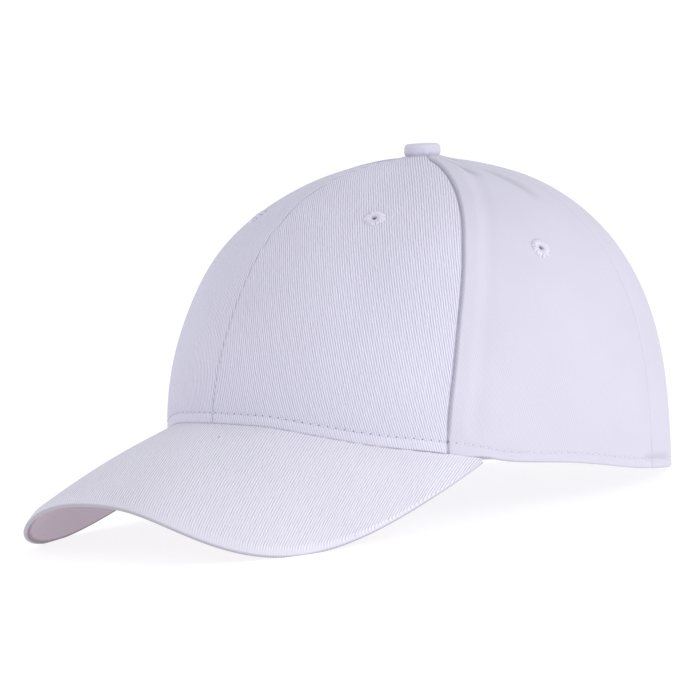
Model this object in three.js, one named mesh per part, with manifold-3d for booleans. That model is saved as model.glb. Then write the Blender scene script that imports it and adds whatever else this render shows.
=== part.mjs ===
// A six-panel ponytail baseball cap of plain white cotton twill, resting on its brim and its back hem.
// Millimetres. +Z is up, the brim points to -Y and the wearer's left side is +X.
// The origin lies on the surface that the cap rests on, under the middle of its box.
// The pieces are worked out upright about the crown's own axis, then the whole cap leans back until
// its brim and its closing strap lie on one level.
import * as THREE from 'three';
import { mergeVertices } from 'three/addons/utils/BufferGeometryUtils.js';
import Module from 'manifold-3d';

const wasm = await Module();
wasm.setup();

// Space between neighbouring pieces
const gap = 0.3;

// Crown: the outside of its hem in plan, and its top
const hemHalfWidth = 83.9;
const hemHalfLength = 101.6;
const crownTopHeight = 137.1;
const crownTopSetBack = 6;
const wallThickness = 1.8;
const apexHoleRadius = 3.8;

// How the crown's upright sections round over, by azimuth in degrees from the middle of the front:
// a section is a superellipse, and a power of 2 would make its top or its wall round as an ellipse.
// The stiff front leans back from the hem, and the sides stand up before they turn over.
const sectionTable = [
  { azimuth: 0, topPower: 2.8, wallPower: 1.5 },
  { azimuth: 35, topPower: 2.25, wallPower: 2 },
  { azimuth: 65, topPower: 2.08, wallPower: 2.98 },
  { azimuth: 100, topPower: 2.07, wallPower: 2.97 },
  { azimuth: 140, topPower: 2.02, wallPower: 2.92 },
  { azimuth: 180, topPower: 2.01, wallPower: 2.43 },
];

// Height of the crown's lower edge, by azimuth: it dips from the arch over the brim to the free hem
const hemTable = [
  { azimuth: 0, height: 45 },
  { azimuth: 15, height: 44.3 },
  { azimuth: 30, height: 40.7 },
  { azimuth: 45, height: 36.2 },
  { azimuth: 57, height: 33.4 },
  { azimuth: 66, height: 30.8 },
  { azimuth: 74, height: 27.6 },
  { azimuth: 90, height: 25.2 },
  { azimuth: 115, height: 19.8 },
  { azimuth: 140, height: 17.2 },
  { azimuth: 160, height: 16.2 },
  { azimuth: 180, height: 16 },
];

// Front seam on each side, by share of the crown's height, in degrees from the middle of the front
const frontSeamTable = [
  { rise: 0, azimuth: 60 },
  { rise: 0.35, azimuth: 62.6 },
  { rise: 0.7, azimuth: 66.9 },
  { rise: 1, azimuth: 71.4 },
];
const backSeamAzimuth = 120;

// Brim: it ends at this azimuth on each side, and its lower face is an arch that slopes forwards,
// drops to its sides and dips a little more towards its tip
const brimEndAzimuth = 67.7;
const brimLength = 121.6;
const brimThickness = 2.8;
const brimEndThickness = 1.2;
const brimTaperFrom = 0.88;
const brimEdgeShare = 0.7;
const brimOutline = { tipPower: 1, sidePower: 0.518, swell: 8.6 };
const brimArch = { rootHeight: 41.2, slope: 0.326, sideSlope: 0.042, halfWidth: 82, drop: 47.7, power: 2.66 };
const brimTip = { reach: 61.8, extraDrop: 0.225, dip: 4.7 };

// Sweatband inside the hem
const sweatbandHeight = 30;
const sweatbandClearance = 0.5;
const sweatbandThickness = 1.2;
const sweatbandEndAzimuth = 145.5;

// Ponytail opening at the back: a round-topped arch with a bound edge
const openingHalfWidth = 34;
const openingSpringHeight = 49;
const openingCrownRise = 36;
const openingUprightShare = 0.22;
const bindingWidth = 7;
const bindingStandsProud = 0.6;
const bindingThickness = 2.9;

// Closing strap across the foot of the opening: two tabs, the left one lying over the right one
const strapWidth = 22;
const strapThickness = 1.6;
const strapRootReach = 45.5;
const leftTabReach = 22;
const rightTabReach = 12;
const strapDepth = wallThickness + 0.7;

// Covered button on the crown's top, with the plain shank and washer that hold it
const buttonRadius = 6.8;
const buttonHeight = 5.3;
const buttonEdgeRound = 1.5;
const buttonDome = 0.3;
const shankRadius = apexHoleRadius - gap;
const washerRadius = 6.2;
const washerThickness = 0.8;

// Embroidered eyelets, one near the middle of each panel
const eyeletRadius = 4.2;
const eyeletHoleRadius = 0.8;
const eyeletStandsProud = 0.6;
const eyeletRim = 0.7;
const eyeletTable = [
  { panel: 'front', azimuth: 38.7, share: 0.6 },
  { panel: 'side', azimuth: 91, share: 0.545 },
  { panel: 'back', azimuth: 153, share: 0.56 },
];

// How far the cloth that touches the surface is pressed flat
const pressedFlat = 0.4;

const clothWhite = 0xeceaf0;

function radians(degrees) {
  return degrees * Math.PI / 180;
}

// Smooth curve through a table's rows that never overshoots them
function alongTable(rows, across, up, place) {
  const last = rows.length - 1;
  const spans = rows.slice(1).map((row, i) => row[across] - rows[i][across]);
  const slopes = spans.map((span, i) => (rows[i + 1][up] - rows[i][up]) / span);
  const tangents = rows.map((row, i) => {
    if (i === 0 || i === last) {
      return 0;
    }
    const product = slopes[i - 1] * slopes[i];
    return product > 0 ? 2 * product / (slopes[i - 1] + slopes[i]) : 0;
  });
  const held = Math.min(Math.max(place, rows[0][across]), rows[last][across]);
  const next = Math.max(1, rows.findIndex((row) => row[across] >= held));
  const i = next - 1;
  const s = (held - rows[i][across]) / spans[i];
  const start = rows[i][up] * (1 + 2 * s) * (1 - s) ** 2 + tangents[i] * spans[i] * s * (1 - s) ** 2;
  const end = rows[next][up] * s * s * (3 - 2 * s) - tangents[next] * spans[i] * s * s * (1 - s);
  return start + end;
}

// Azimuth turned into 0 to 180 degrees, the same on both sides
function foldedDegrees(azimuth) {
  const turned = Math.atan2(Math.sin(azimuth), Math.cos(azimuth));
  return Math.abs(turned) * 180 / Math.PI;
}

function hemHeight(azimuth) {
  return alongTable(hemTable, 'azimuth', 'height', foldedDegrees(azimuth));
}

function sectionPower(which, azimuth) {
  return alongTable(sectionTable, 'azimuth', which, foldedDegrees(azimuth));
}

// How far in and how far up the crown has come: share is 0 at the hem and 1 at the top
function reachAndRise(azimuth, share) {
  const wallPower = sectionPower('wallPower', azimuth);
  const turn = Math.PI / 2 * share ** (wallPower / 2);
  const reach = Math.max(Math.cos(turn), 0) ** (2 / sectionPower('topPower', azimuth));
  return { reach, rise: Math.sin(turn) ** (2 / wallPower) };
}

// Outside of the crown, with the azimuth in radians
function crownPoint(azimuth, share) {
  const { reach, rise } = reachAndRise(azimuth, share);
  const hem = hemHeight(azimuth);
  return new THREE.Vector3(
    hemHalfWidth * Math.sin(azimuth) * reach,
    crownTopSetBack * (1 - reach) - hemHalfLength * Math.cos(azimuth) * reach,
    hem + (crownTopHeight - hem) * rise,
  );
}

function crownNormal(azimuth, share) {
  const step = 0.002;
  const low = Math.max(share - step, step);
  const along = crownPoint(azimuth + step, share).sub(crownPoint(azimuth - step, share));
  const up = crownPoint(azimuth, low + 2 * step).sub(crownPoint(azimuth, low));
  return along.cross(up).normalize();
}

function crownOffset(azimuth, share, depth) {
  return crownPoint(azimuth, share).addScaledVector(crownNormal(azimuth, share), -depth);
}

// Halves a range until the value found in it is the one asked for; the value grows over the range
function solve(low, high, target, value) {
  let [below, above] = [low, high];
  for (let i = 0; i < 40; i += 1) {
    const middle = (below + above) / 2;
    if (value(middle) < target) {
      below = middle;
    } else {
      above = middle;
    }
  }
  return (below + above) / 2;
}

function shareAtHeight(azimuth, height) {
  return solve(0, 1, height, (share) => crownPoint(azimuth, share).z);
}

// Share at which the crown comes in to a given distance from its top point, in plan
function shareAtRadius(azimuth, radius) {
  return solve(0, 1, -radius, (share) => {
    const point = crownPoint(azimuth, share);
    return -Math.hypot(point.x, point.y - crownTopSetBack);
  });
}

// Closed wall between an outer and an inner sheet of the same grid; the grid runs across the sheet,
// then up it, so that the outer sheet is seen from outside with its columns going to the right
function wallGeometry(columns, rows, outerAt, innerAt) {
  const positions = [];
  const index = [];
  for (const sheet of [outerAt, innerAt]) {
    for (let j = 0; j <= rows; j += 1) {
      for (let i = 0; i <= columns; i += 1) {
        positions.push(...sheet(i / columns, j / rows).toArray());
      }
    }
  }
  const innerStart = (columns + 1) * (rows + 1);
  const outer = (i, j) => j * (columns + 1) + i;
  const inner = (i, j) => innerStart + outer(i, j);
  const quad = (a, b, c, d) => index.push(a, b, c, a, c, d);
  for (let j = 0; j < rows; j += 1) {
    for (let i = 0; i < columns; i += 1) {
      quad(outer(i, j), outer(i + 1, j), outer(i + 1, j + 1), outer(i, j + 1));
      quad(inner(i, j), inner(i, j + 1), inner(i + 1, j + 1), inner(i + 1, j));
    }
  }
  for (let i = 0; i < columns; i += 1) {
    quad(outer(i, 0), inner(i, 0), inner(i + 1, 0), outer(i + 1, 0));
    quad(outer(i, rows), outer(i + 1, rows), inner(i + 1, rows), inner(i, rows));
  }
  for (let j = 0; j < rows; j += 1) {
    quad(outer(0, j), outer(0, j + 1), inner(0, j + 1), inner(0, j));
    quad(outer(columns, j), inner(columns, j), inner(columns, j + 1), outer(columns, j + 1));
  }
  const geometry = new THREE.BufferGeometry();
  geometry.setAttribute('position', new THREE.Float32BufferAttribute(positions, 3));
  geometry.setIndex(index);
  return geometry;
}

function toSolid(geometry) {
  const bare = geometry.clone();
  bare.deleteAttribute('normal');
  bare.deleteAttribute('uv');
  const merged = mergeVertices(bare, 1e-4);
  return new wasm.Manifold(new wasm.Mesh({
    numProp: 3,
    vertProperties: new Float32Array(merged.attributes.position.array),
    triVerts: new Uint32Array(merged.index.array),
  }));
}

function toGeometry(solid) {
  const mesh = solid.getMesh();
  const geometry = new THREE.BufferGeometry();
  geometry.setAttribute('position', new THREE.BufferAttribute(mesh.vertProperties, 3));
  geometry.setIndex(new THREE.BufferAttribute(mesh.triVerts, 1));
  return geometry;
}

function mirrored(geometry) {
  const copy = geometry.clone().scale(-1, 1, 1);
  const index = copy.index.array;
  for (let i = 0; i < index.length; i += 3) {
    [index[i + 1], index[i + 2]] = [index[i + 2], index[i + 1]];
  }
  return copy;
}

// Crown panels

const panelColumns = 10;
const panelRows = 16;

// Share of the crown at a panel's row: rows lie evenly along the section, from the hem to the hole
// at the top
function rowShare(azimuth, row) {
  const samples = 40;
  const head = shareAtRadius(azimuth, apexHoleRadius);
  const shares = Array.from({ length: samples + 1 }, (_, k) => head * k / samples);
  const points = shares.map((share) => crownPoint(azimuth, share));
  const lengths = points.map((point, k) => (k === 0 ? 0 : point.distanceTo(points[k - 1])));
  const total = lengths.reduce((sum, length) => sum + length, 0);
  let passed = 0;
  let k = 1;
  while (k < samples && passed + lengths[k] < row * total) {
    passed += lengths[k];
    k += 1;
  }
  return shares[k - 1] + (shares[k] - shares[k - 1]) * Math.min((row * total - passed) / lengths[k], 1);
}

// Azimuth of a seam at a row, kept half the gap away to the side given by direction; a seam is a
// function of the share of the crown's height
function besideSeam(seam, row, direction) {
  let azimuth = seam(row);
  for (let i = 0; i < 6; i += 1) {
    azimuth = seam(reachAndRise(azimuth, rowShare(azimuth, row)).rise);
  }
  const share = rowShare(azimuth, row);
  const step = 0.002;
  const reach = crownPoint(azimuth + step, share).distanceTo(crownPoint(azimuth, share)) / step;
  return azimuth + direction * (gap / 2) / reach;
}

function panelGeometry(startSeam, endSeam) {
  const azimuthAt = (across, row) => {
    const start = besideSeam(startSeam, row, 1);
    return start + (besideSeam(endSeam, row, -1) - start) * across;
  };
  // The foot of the inner face rises over the brim's slope
  const rootRise = (azimuth, row) => {
    const overBrim = row === 0 && foldedDegrees(azimuth) < brimEndAzimuth;
    return overBrim ? brimArch.slope * wallThickness / (crownTopHeight - hemHeight(azimuth)) / 2 : 0;
  };
  const outerAt = (across, row) => {
    const azimuth = azimuthAt(across, row);
    return crownPoint(azimuth, rowShare(azimuth, row));
  };
  const innerAt = (across, row) => {
    const azimuth = azimuthAt(across, row);
    return crownOffset(azimuth, rowShare(azimuth, row) + rootRise(azimuth, row), wallThickness);
  };
  return wallGeometry(panelColumns, panelRows, outerAt, innerAt);
}

// Cylinder standing square through the crown at an eyelet
function eyeletCutter(eyelet) {
  const azimuth = radians(eyelet.azimuth);
  const normal = crownNormal(azimuth, eyelet.share);
  const centre = crownPoint(azimuth, eyelet.share);
  const cutter = new THREE.CylinderGeometry(eyeletRadius + gap, eyeletRadius + gap, 12, 16);
  const turn = new THREE.Quaternion().setFromUnitVectors(new THREE.Vector3(0, 1, 0), normal);
  return cutter.applyQuaternion(turn).translate(centre.x, centre.y, centre.z);
}

// Outline of the ponytail opening in width and height, widened by a margin: along is 0 at its foot
// on the cap's left side and 1 at its foot on the right side
function openingOutline(along, margin) {
  const halfWidth = openingHalfWidth + margin;
  const archRise = openingCrownRise + margin;
  const side = along < 0.5 ? 1 : -1;
  const fromFoot = Math.min(along, 1 - along);
  if (fromFoot < openingUprightShare) {
    const foot = hemBeside(halfWidth);
    const height = foot + (openingSpringHeight - foot) * fromFoot / openingUprightShare;
    return new THREE.Vector2(side * halfWidth, height);
  }
  const turn = (fromFoot - openingUprightShare) / (0.5 - openingUprightShare) * Math.PI / 2;
  const height = openingSpringHeight + archRise * Math.sin(turn);
  return new THREE.Vector2(side * halfWidth * Math.cos(turn), height);
}

// Height of the hem beside the middle of the back
function hemBeside(sideReach) {
  return hemHeight(Math.PI - Math.asin(sideReach / hemHalfWidth));
}

function openingCutter(margin) {
  const steps = 36;
  const shape = new THREE.Shape();
  const foot = -10;
  shape.moveTo(openingHalfWidth + margin, foot);
  for (let i = 0; i <= steps; i += 1) {
    const point = openingOutline(i / steps, margin);
    shape.lineTo(point.x, point.y);
  }
  shape.lineTo(-openingHalfWidth - margin, foot);
  const prism = new THREE.ExtrudeGeometry(shape, { depth: hemHalfLength, bevelEnabled: false });
  return prism.rotateX(Math.PI / 2).translate(0, hemHalfLength + 20, 0);
}

const middleSeam = () => 0;
const frontSeam = (rise) => radians(alongTable(frontSeamTable, 'rise', 'azimuth', rise));
const backSeam = () => radians(backSeamAzimuth);
const centreBackSeam = () => Math.PI;

function cutAway(geometry, cutters) {
  return toGeometry(cutters.reduce((solid, cutter) => solid.subtract(toSolid(cutter)), toSolid(geometry)));
}

const panelGeometries = {
  front: cutAway(panelGeometry(middleSeam, frontSeam), [eyeletCutter(eyeletTable[0])]),
  side: cutAway(panelGeometry(frontSeam, backSeam), [eyeletCutter(eyeletTable[1])]),
  back: cutAway(
    panelGeometry(backSeam, centreBackSeam),
    [eyeletCutter(eyeletTable[2]), openingCutter(bindingWidth + gap)],
  ),
};

// Brim

function archHeight(x, y) {
  const across = Math.abs(x) / brimArch.halfWidth;
  const ahead = -hemHalfLength - y;
  const tipShare = ahead / brimTip.reach;
  const slope = brimArch.slope + brimArch.sideSlope * across ** 2;
  const drop = brimArch.drop * across ** brimArch.power * (1 + brimTip.extraDrop * tipShare);
  return brimArch.rootHeight - slope * ahead - drop - brimTip.dip * tipShare ** 2;
}

// Outer edge in plan: turn runs from -90 degrees at the right end to 90 degrees at the left end
function brimEdge(turn) {
  const end = radians(brimEndAzimuth);
  const sine = Math.sign(turn) * Math.abs(Math.sin(turn)) ** (1 / brimOutline.sidePower);
  const cosine = Math.sqrt(Math.max(1 - sine * sine, 0));
  const width = hemHalfWidth * Math.sin(end) * Math.abs(sine) ** brimOutline.sidePower;
  return new THREE.Vector2(
    Math.sign(turn) * (width + brimOutline.swell * Math.abs(sine) * cosine),
    -hemHalfLength * Math.cos(end) - brimLength * cosine ** brimOutline.tipPower,
  );
}

// Inner edge in plan, tucked under the crown's wall
function brimRoot(azimuth) {
  const onHem = new THREE.Vector2(hemHalfWidth * Math.sin(azimuth), -hemHalfLength * Math.cos(azimuth));
  const outward = new THREE.Vector2(onHem.x / hemHalfWidth ** 2, onHem.y / hemHalfLength ** 2).normalize();
  return onHem.addScaledVector(outward, -wallThickness);
}

function brimGeometry() {
  const columns = 40;
  const rowPlaces = [0, 0.03, 0.15, 0.32, 0.5, 0.68, 0.85, 0.975, 1];
  const rows = rowPlaces.length - 1;
  const thicknessAt = (across) => {
    const endShare = Math.max(0, Math.abs(2 * across - 1) - brimTaperFrom) / (1 - brimTaperFrom);
    return brimThickness + (brimEndThickness - brimThickness) * endShare;
  };
  const lower = (across, row) => {
    const side = 2 * across - 1;
    const azimuth = side * radians(brimEndAzimuth);
    const out = rowPlaces[Math.round(row * rows)];
    const plan = brimRoot(azimuth).lerp(brimEdge(side * Math.PI / 2), out);
    const root = brimRoot(azimuth);
    const rootHeight = hemHeight(azimuth) - gap - thicknessAt(across);
    const height = archHeight(plan.x, plan.y) + (rootHeight - archHeight(root.x, root.y)) * (1 - out) ** 2;
    return new THREE.Vector3(plan.x, plan.y, Math.max(height, 0));
  };
  const step = 0.5 / columns;
  const normal = (across, row) => {
    const centre = Math.min(Math.max(across, step), 1 - step);
    const along = lower(centre + step, row).sub(lower(centre - step, row));
    const near = Math.min(Math.round(row * rows), rows - 1) / rows;
    const out = lower(centre, near + 1 / rows).sub(lower(centre, near));
    return out.cross(along).normalize();
  };
  const upper = (across, row) => {
    const chamfered = Math.round(row * rows) === rows ? brimEdgeShare : 1;
    return lower(across, row).addScaledVector(normal(across, row), thicknessAt(across) * chamfered);
  };
  // The grid runs outwards from the crown, so its columns go from left to right when seen from above
  return wallGeometry(
    columns,
    rows,
    (across, row) => upper(1 - across, row),
    (across, row) => lower(1 - across, row),
  );
}

// Sweatband: it covers the brim's root in front and stops just above the hem at the sides

function sweatbandGeometry() {
  const columns = 56;
  const footTable = [
    { azimuth: 0, above: -gap - brimThickness },
    { azimuth: 63, above: -gap - brimThickness },
    { azimuth: 74, above: 0.6 },
    { azimuth: 180, above: 0.6 },
  ];
  const end = radians(sweatbandEndAzimuth);
  const rows = 3;
  const at = (across, row, depth) => {
    const azimuth = (2 * across - 1) * end;
    const foot = alongTable(footTable, 'azimuth', 'above', foldedDegrees(azimuth));
    const above = foot + (sweatbandHeight - foot) * row;
    const share = shareAtHeight(azimuth, hemHeight(azimuth) + Math.max(above, 0));
    const point = crownOffset(azimuth, share, depth);
    point.z += Math.min(above, 0);
    return point;
  };
  const outerDepth = wallThickness + sweatbandClearance;
  return wallGeometry(
    columns,
    rows,
    (across, row) => at(across, row, outerDepth),
    (across, row) => at(across, row, outerDepth + sweatbandThickness),
  );
}

// Binding round the ponytail opening

// Crown's back surface behind a point seen from behind
function backSurfaceDepth(x, z) {
  const sideReach = (azimuth) => crownPoint(azimuth, shareAtHeight(azimuth, z)).x;
  const azimuth = Math.PI - solve(0, Math.PI / 2, Math.abs(x), (turn) => sideReach(Math.PI - turn));
  return crownPoint(azimuth, shareAtHeight(azimuth, z)).y;
}

function bindingGeometry() {
  const columns = 36;
  const rows = 2;
  const at = (across, row, proud) => {
    const place = openingOutline(across, 0).lerp(openingOutline(across, bindingWidth), row);
    return new THREE.Vector3(place.x, backSurfaceDepth(place.x, place.y) + proud, place.y);
  };
  return wallGeometry(
    columns,
    rows,
    (across, row) => at(across, row, bindingStandsProud),
    (across, row) => at(across, row, bindingStandsProud - bindingThickness),
  );
}

// Closing strap

function azimuthAtBack(x) {
  return Math.PI - Math.asin(x / hemHalfWidth);
}

function tabGeometry(fromReach, toReach, depthAt) {
  const columns = 18;
  const rows = 3;
  const at = (across, row, extra) => {
    const azimuth = azimuthAtBack(fromReach + (toReach - fromReach) * across);
    const height = hemHeight(azimuth) + strapWidth * row;
    const share = shareAtHeight(azimuth, height);
    const point = crownOffset(azimuth, share, depthAt(azimuth) + extra);
    point.z = height;
    return point;
  };
  return wallGeometry(
    columns,
    rows,
    (across, row) => at(across, row, 0),
    (across, row) => at(across, row, strapThickness),
  );
}

// The right tab steps inwards to pass under the end of the left one
const rightTabTable = [
  { reach: -strapRootReach, depth: strapDepth },
  { reach: -leftTabReach - 11, depth: strapDepth },
  { reach: -leftTabReach - 1.5, depth: strapDepth + strapThickness + gap },
  { reach: rightTabReach, depth: strapDepth + strapThickness + gap },
];

function rightTabDepth(azimuth) {
  return alongTable(rightTabTable, 'reach', 'depth', hemHalfWidth * Math.sin(azimuth));
}

// Button and eyelets

function buttonGeometry() {
  const segments = 24;
  const roundSteps = 4;
  const washerTop = -wallThickness - 3 * gap;
  const profile = [
    new THREE.Vector2(0, washerTop - washerThickness),
    new THREE.Vector2(washerRadius, washerTop - washerThickness),
    new THREE.Vector2(washerRadius, washerTop),
    new THREE.Vector2(shankRadius, washerTop),
    new THREE.Vector2(shankRadius, gap),
    new THREE.Vector2(buttonRadius, gap),
  ];
  for (let i = 0; i <= roundSteps; i += 1) {
    const turn = i / roundSteps * Math.PI / 2;
    const reach = buttonRadius - buttonEdgeRound * (1 - Math.cos(turn));
    const height = buttonHeight - buttonDome - buttonEdgeRound * (1 - Math.sin(turn));
    profile.push(new THREE.Vector2(reach, height));
  }
  profile.push(new THREE.Vector2(0, buttonHeight));
  const button = new THREE.LatheGeometry(profile, segments);
  return button.rotateX(Math.PI / 2).translate(0, crownTopSetBack, crownTopHeight);
}

function eyeletGeometry() {
  const sunk = -wallThickness - 0.4;
  const shoulder = eyeletStandsProud - eyeletRim;
  const profile = [
    new THREE.Vector2(eyeletHoleRadius, shoulder),
    new THREE.Vector2(eyeletHoleRadius, sunk),
    new THREE.Vector2(eyeletRadius, sunk),
    new THREE.Vector2(eyeletRadius, shoulder),
    new THREE.Vector2(eyeletRadius - eyeletRim, eyeletStandsProud),
    new THREE.Vector2(eyeletHoleRadius + eyeletRim, eyeletStandsProud),
    new THREE.Vector2(eyeletHoleRadius, shoulder),
  ];
  return new THREE.LatheGeometry(profile, 14);
}

function clothMesh(name, geometry) {
  const material = new THREE.MeshStandardMaterial({ color: clothWhite, roughness: 0.92, metalness: 0 });
  const mesh = new THREE.Mesh(geometry, material);
  mesh.name = name;
  return mesh;
}

// Lowest point of a piece once the cap leans back by an angle
function lowestPoint(geometry, lean) {
  const place = geometry.attributes.position;
  let lowest = Infinity;
  for (let i = 0; i < place.count; i += 1) {
    lowest = Math.min(lowest, place.getZ(i) * Math.cos(lean) - place.getY(i) * Math.sin(lean));
  }
  return lowest;
}

const brim = brimGeometry();
const leftTab = tabGeometry(strapRootReach, -leftTabReach, () => strapDepth);
const rightTab = tabGeometry(rightTabReach, -strapRootReach, rightTabDepth);
const restLean = solve(0, radians(10), 0, (lean) => lowestPoint(brim, lean) - lowestPoint(leftTab, lean));

const cap = new THREE.Group();
cap.rotation.x = -restLean;
cap.position.z = -lowestPoint(brim, restLean) - pressedFlat;
cap.updateMatrix();

// Flattens what would reach below the surface
function pressedOnSurface(geometry) {
  const depth = 20;
  const slab = new THREE.BoxGeometry(4 * hemHalfWidth, 4 * hemHalfLength, depth);
  slab.translate(0, 0, -depth / 2).applyMatrix4(cap.matrix.clone().invert());
  return cutAway(geometry, [slab]);
}

for (const [name, geometry] of Object.entries(panelGeometries)) {
  cap.add(clothMesh(`${name}_panel_left`, geometry));
  cap.add(clothMesh(`${name}_panel_right`, mirrored(geometry)));
}

cap.add(clothMesh('brim', pressedOnSurface(brim)));
cap.add(clothMesh('sweatband', sweatbandGeometry()));
cap.add(clothMesh('opening_binding', bindingGeometry()));
cap.add(clothMesh('strap_left', pressedOnSurface(leftTab)));
cap.add(clothMesh('strap_right', pressedOnSurface(rightTab)));
cap.add(clothMesh('top_button', buttonGeometry()));

for (const eyelet of eyeletTable) {
  for (const side of [1, -1]) {
    const azimuth = side * radians(eyelet.azimuth);
    const mesh = clothMesh(`eyelet_${eyelet.panel}_${side > 0 ? 'left' : 'right'}`, eyeletGeometry());
    mesh.position.copy(crownPoint(azimuth, eyelet.share));
    mesh.quaternion.setFromUnitVectors(new THREE.Vector3(0, 1, 0), crownNormal(azimuth, eyelet.share));
    cap.add(mesh);
  }
}

// The box's middle comes over the origin
cap.updateMatrixWorld(true);
const box = new THREE.Box3().setFromObject(cap, true);
cap.position.y -= (box.min.y + box.max.y) / 2;

export default cap;
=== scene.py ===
# %% [markdown]
# # A ponytail baseball cap in white cotton twill
# The real cap is sewn from six gores of cotton twill over a stiff front, with a curved brim, a
# covered button, six embroidered eyelets and a round-topped opening for a ponytail at the back.
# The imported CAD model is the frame: every piece here takes its place and its size from it.

# %% Load the frame
import math

import bpy
import numpy as np
from mathutils import Matrix, Vector


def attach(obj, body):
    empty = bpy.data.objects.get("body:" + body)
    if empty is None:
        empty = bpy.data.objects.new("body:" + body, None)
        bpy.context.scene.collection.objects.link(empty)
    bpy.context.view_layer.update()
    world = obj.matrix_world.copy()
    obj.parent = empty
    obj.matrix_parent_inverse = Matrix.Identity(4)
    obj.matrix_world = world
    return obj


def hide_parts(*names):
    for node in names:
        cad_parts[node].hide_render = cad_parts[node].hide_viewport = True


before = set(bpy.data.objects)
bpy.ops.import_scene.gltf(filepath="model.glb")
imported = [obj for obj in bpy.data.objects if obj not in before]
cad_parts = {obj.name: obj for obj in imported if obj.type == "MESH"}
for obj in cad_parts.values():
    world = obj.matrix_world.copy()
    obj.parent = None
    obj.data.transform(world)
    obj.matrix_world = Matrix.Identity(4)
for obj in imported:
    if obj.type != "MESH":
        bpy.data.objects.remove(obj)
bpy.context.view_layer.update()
MM = 0.001

# %% [markdown]
# ## Where the cap stands
# A cap is drawn upright about its own axis, but a real one rocks back on a table until its brim and
# its back strap both touch. The button has a flat underside that is square to the axis, so the CAD
# button tells how far the cap leans and where its axis is. Everything is worked out upright, in
# millimetres, and then laid back by the same turn.

# %% Turn from the upright cap to the resting cap
CROWN_TOP = np.array([0.0, 6.0, 137.1])
BUTTON_FOOT_BELOW_TOP = 3.5
SAME_LEVEL_M = 1e-5

button_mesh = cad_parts["top_button"].data
underside = min(button_mesh.polygons, key=lambda face: face.normal.z)
axis_down = np.array(underside.normal)
lean = math.atan2(-axis_down[1], -axis_down[2])
corners = np.unique(np.round([vertex.co for vertex in button_mesh.vertices], 6), axis=0)
reach_down = corners @ axis_down
foot = corners[reach_down > reach_down.max() - SAME_LEVEL_M].mean(0) / MM
turn_back = np.array(Matrix.Rotation(-lean, 3, "X"))
stand = foot - turn_back @ (CROWN_TOP - [0, 0, BUTTON_FOOT_BELOW_TOP])


def to_rest(points):
    """Upright points in millimetres, laid back on the table, in metres."""
    return (np.asarray(points) @ turn_back.T + stand) * MM


def turned(directions):
    """Upright directions, turned back with the cap."""
    return np.asarray(directions) @ turn_back.T


print("The cap leans back by", round(math.degrees(lean), 2), "degrees")
print("Its axis moves by", stand.round(2), "mm")

# %% [markdown]
# ## Camera
# The photograph is a product view from the wearer's front left, a little above the table, taken
# from far away with a long lens, so upright lines hardly converge. A short lens close by would
# swell the brim. The camera is set about the upright cap first, because the picture was taken with
# the crown nearly upright, and is then turned back with it.

# %% Camera at the photograph's angle
IMAGE_SIDE_PX = 700
SENSOR_MM = 36
CAMERA_AZIMUTH = math.radians(48.94)
CAMERA_ELEVATION = math.radians(3.39)
CAMERA_ROLL = math.radians(2.03)
CAMERA_DISTANCE_MM = 3090
PX_PER_MM = 2.6777
AIM_MM = np.array([0, -20.6, 61.8])
AIM_PX = (376.4, 362.2)


def towards(azimuth, elevation):
    """A direction away from the cap; azimuth 0 is in front of the brim, 90 degrees the wearer's left."""
    flat = math.cos(elevation)
    return np.array([math.sin(azimuth) * flat, -math.cos(azimuth) * flat, math.sin(elevation)])


away = towards(CAMERA_AZIMUTH, CAMERA_ELEVATION)
level = np.array([math.cos(CAMERA_AZIMUTH), math.sin(CAMERA_AZIMUTH), 0])
upward = np.cross(away, level)
right = math.cos(CAMERA_ROLL) * level - math.sin(CAMERA_ROLL) * upward
above = math.sin(CAMERA_ROLL) * level + math.cos(CAMERA_ROLL) * upward

camera_data = bpy.data.cameras.new("long_lens")
camera_data.sensor_width = SENSOR_MM
camera_data.lens = SENSOR_MM * PX_PER_MM * CAMERA_DISTANCE_MM / IMAGE_SIDE_PX
camera_data.shift_x = (IMAGE_SIDE_PX / 2 - AIM_PX[0]) / IMAGE_SIDE_PX
camera_data.shift_y = (AIM_PX[1] - IMAGE_SIDE_PX / 2) / IMAGE_SIDE_PX
camera_data.clip_end = 100
camera = bpy.data.objects.new("camera", camera_data)
bpy.context.scene.collection.objects.link(camera)
facing = np.eye(4)
facing[:3, :3] = turned([right, above, away]).T
facing[:3, 3] = to_rest(AIM_MM + away * CAMERA_DISTANCE_MM)
camera.matrix_world = Matrix(facing)
bpy.context.scene.camera = camera
print("Lens", round(camera_data.lens, 1), "mm")
print("Shift", round(camera_data.shift_x, 4), round(camera_data.shift_y, 4))

# %% [markdown]
# ## Materials: helpers
# A node material is built from a few plain parts. One function turns the sRGB hex values that a
# colour picker gives to the linear values that Blender's nodes use, and one adds any node with its
# settings and links. The small ones after it say in a word what a Noise, a Map Range, a Mix or a
# Math node does. A piece carries marks from 0 to 1 at its vertices, and its painted shade mark
# darkens it: shade painted where little light gets in, in seams, folds, holes and under edges.

# %% Colour and node helpers
def linear(hex_colour):
    """An sRGB hex value such as "#F2F0FC" as linear RGBA."""
    parts = [int(hex_colour[i:i + 2], 16) / 255 for i in (1, 3, 5)]
    return [p / 12.92 if p <= 0.04045 else ((p + 0.055) / 1.055) ** 2.4 for p in parts] + [1.0]


def add_node(tree, kind, inputs=None, **settings):
    """Adds a node. Inputs are given by name or number, as a value or as the socket they come from."""
    made = tree.nodes.new(kind)
    for name, value in settings.items():
        setattr(made, name, value)
    for name, value in (inputs or {}).items():
        if isinstance(value, bpy.types.NodeSocket):
            tree.links.new(value, made.inputs[name])
        else:
            made.inputs[name].default_value = value
    return made


def new_material(name):
    material = bpy.data.materials.new(name)
    material.use_nodes = True
    material.node_tree.nodes.clear()
    return material


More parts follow.
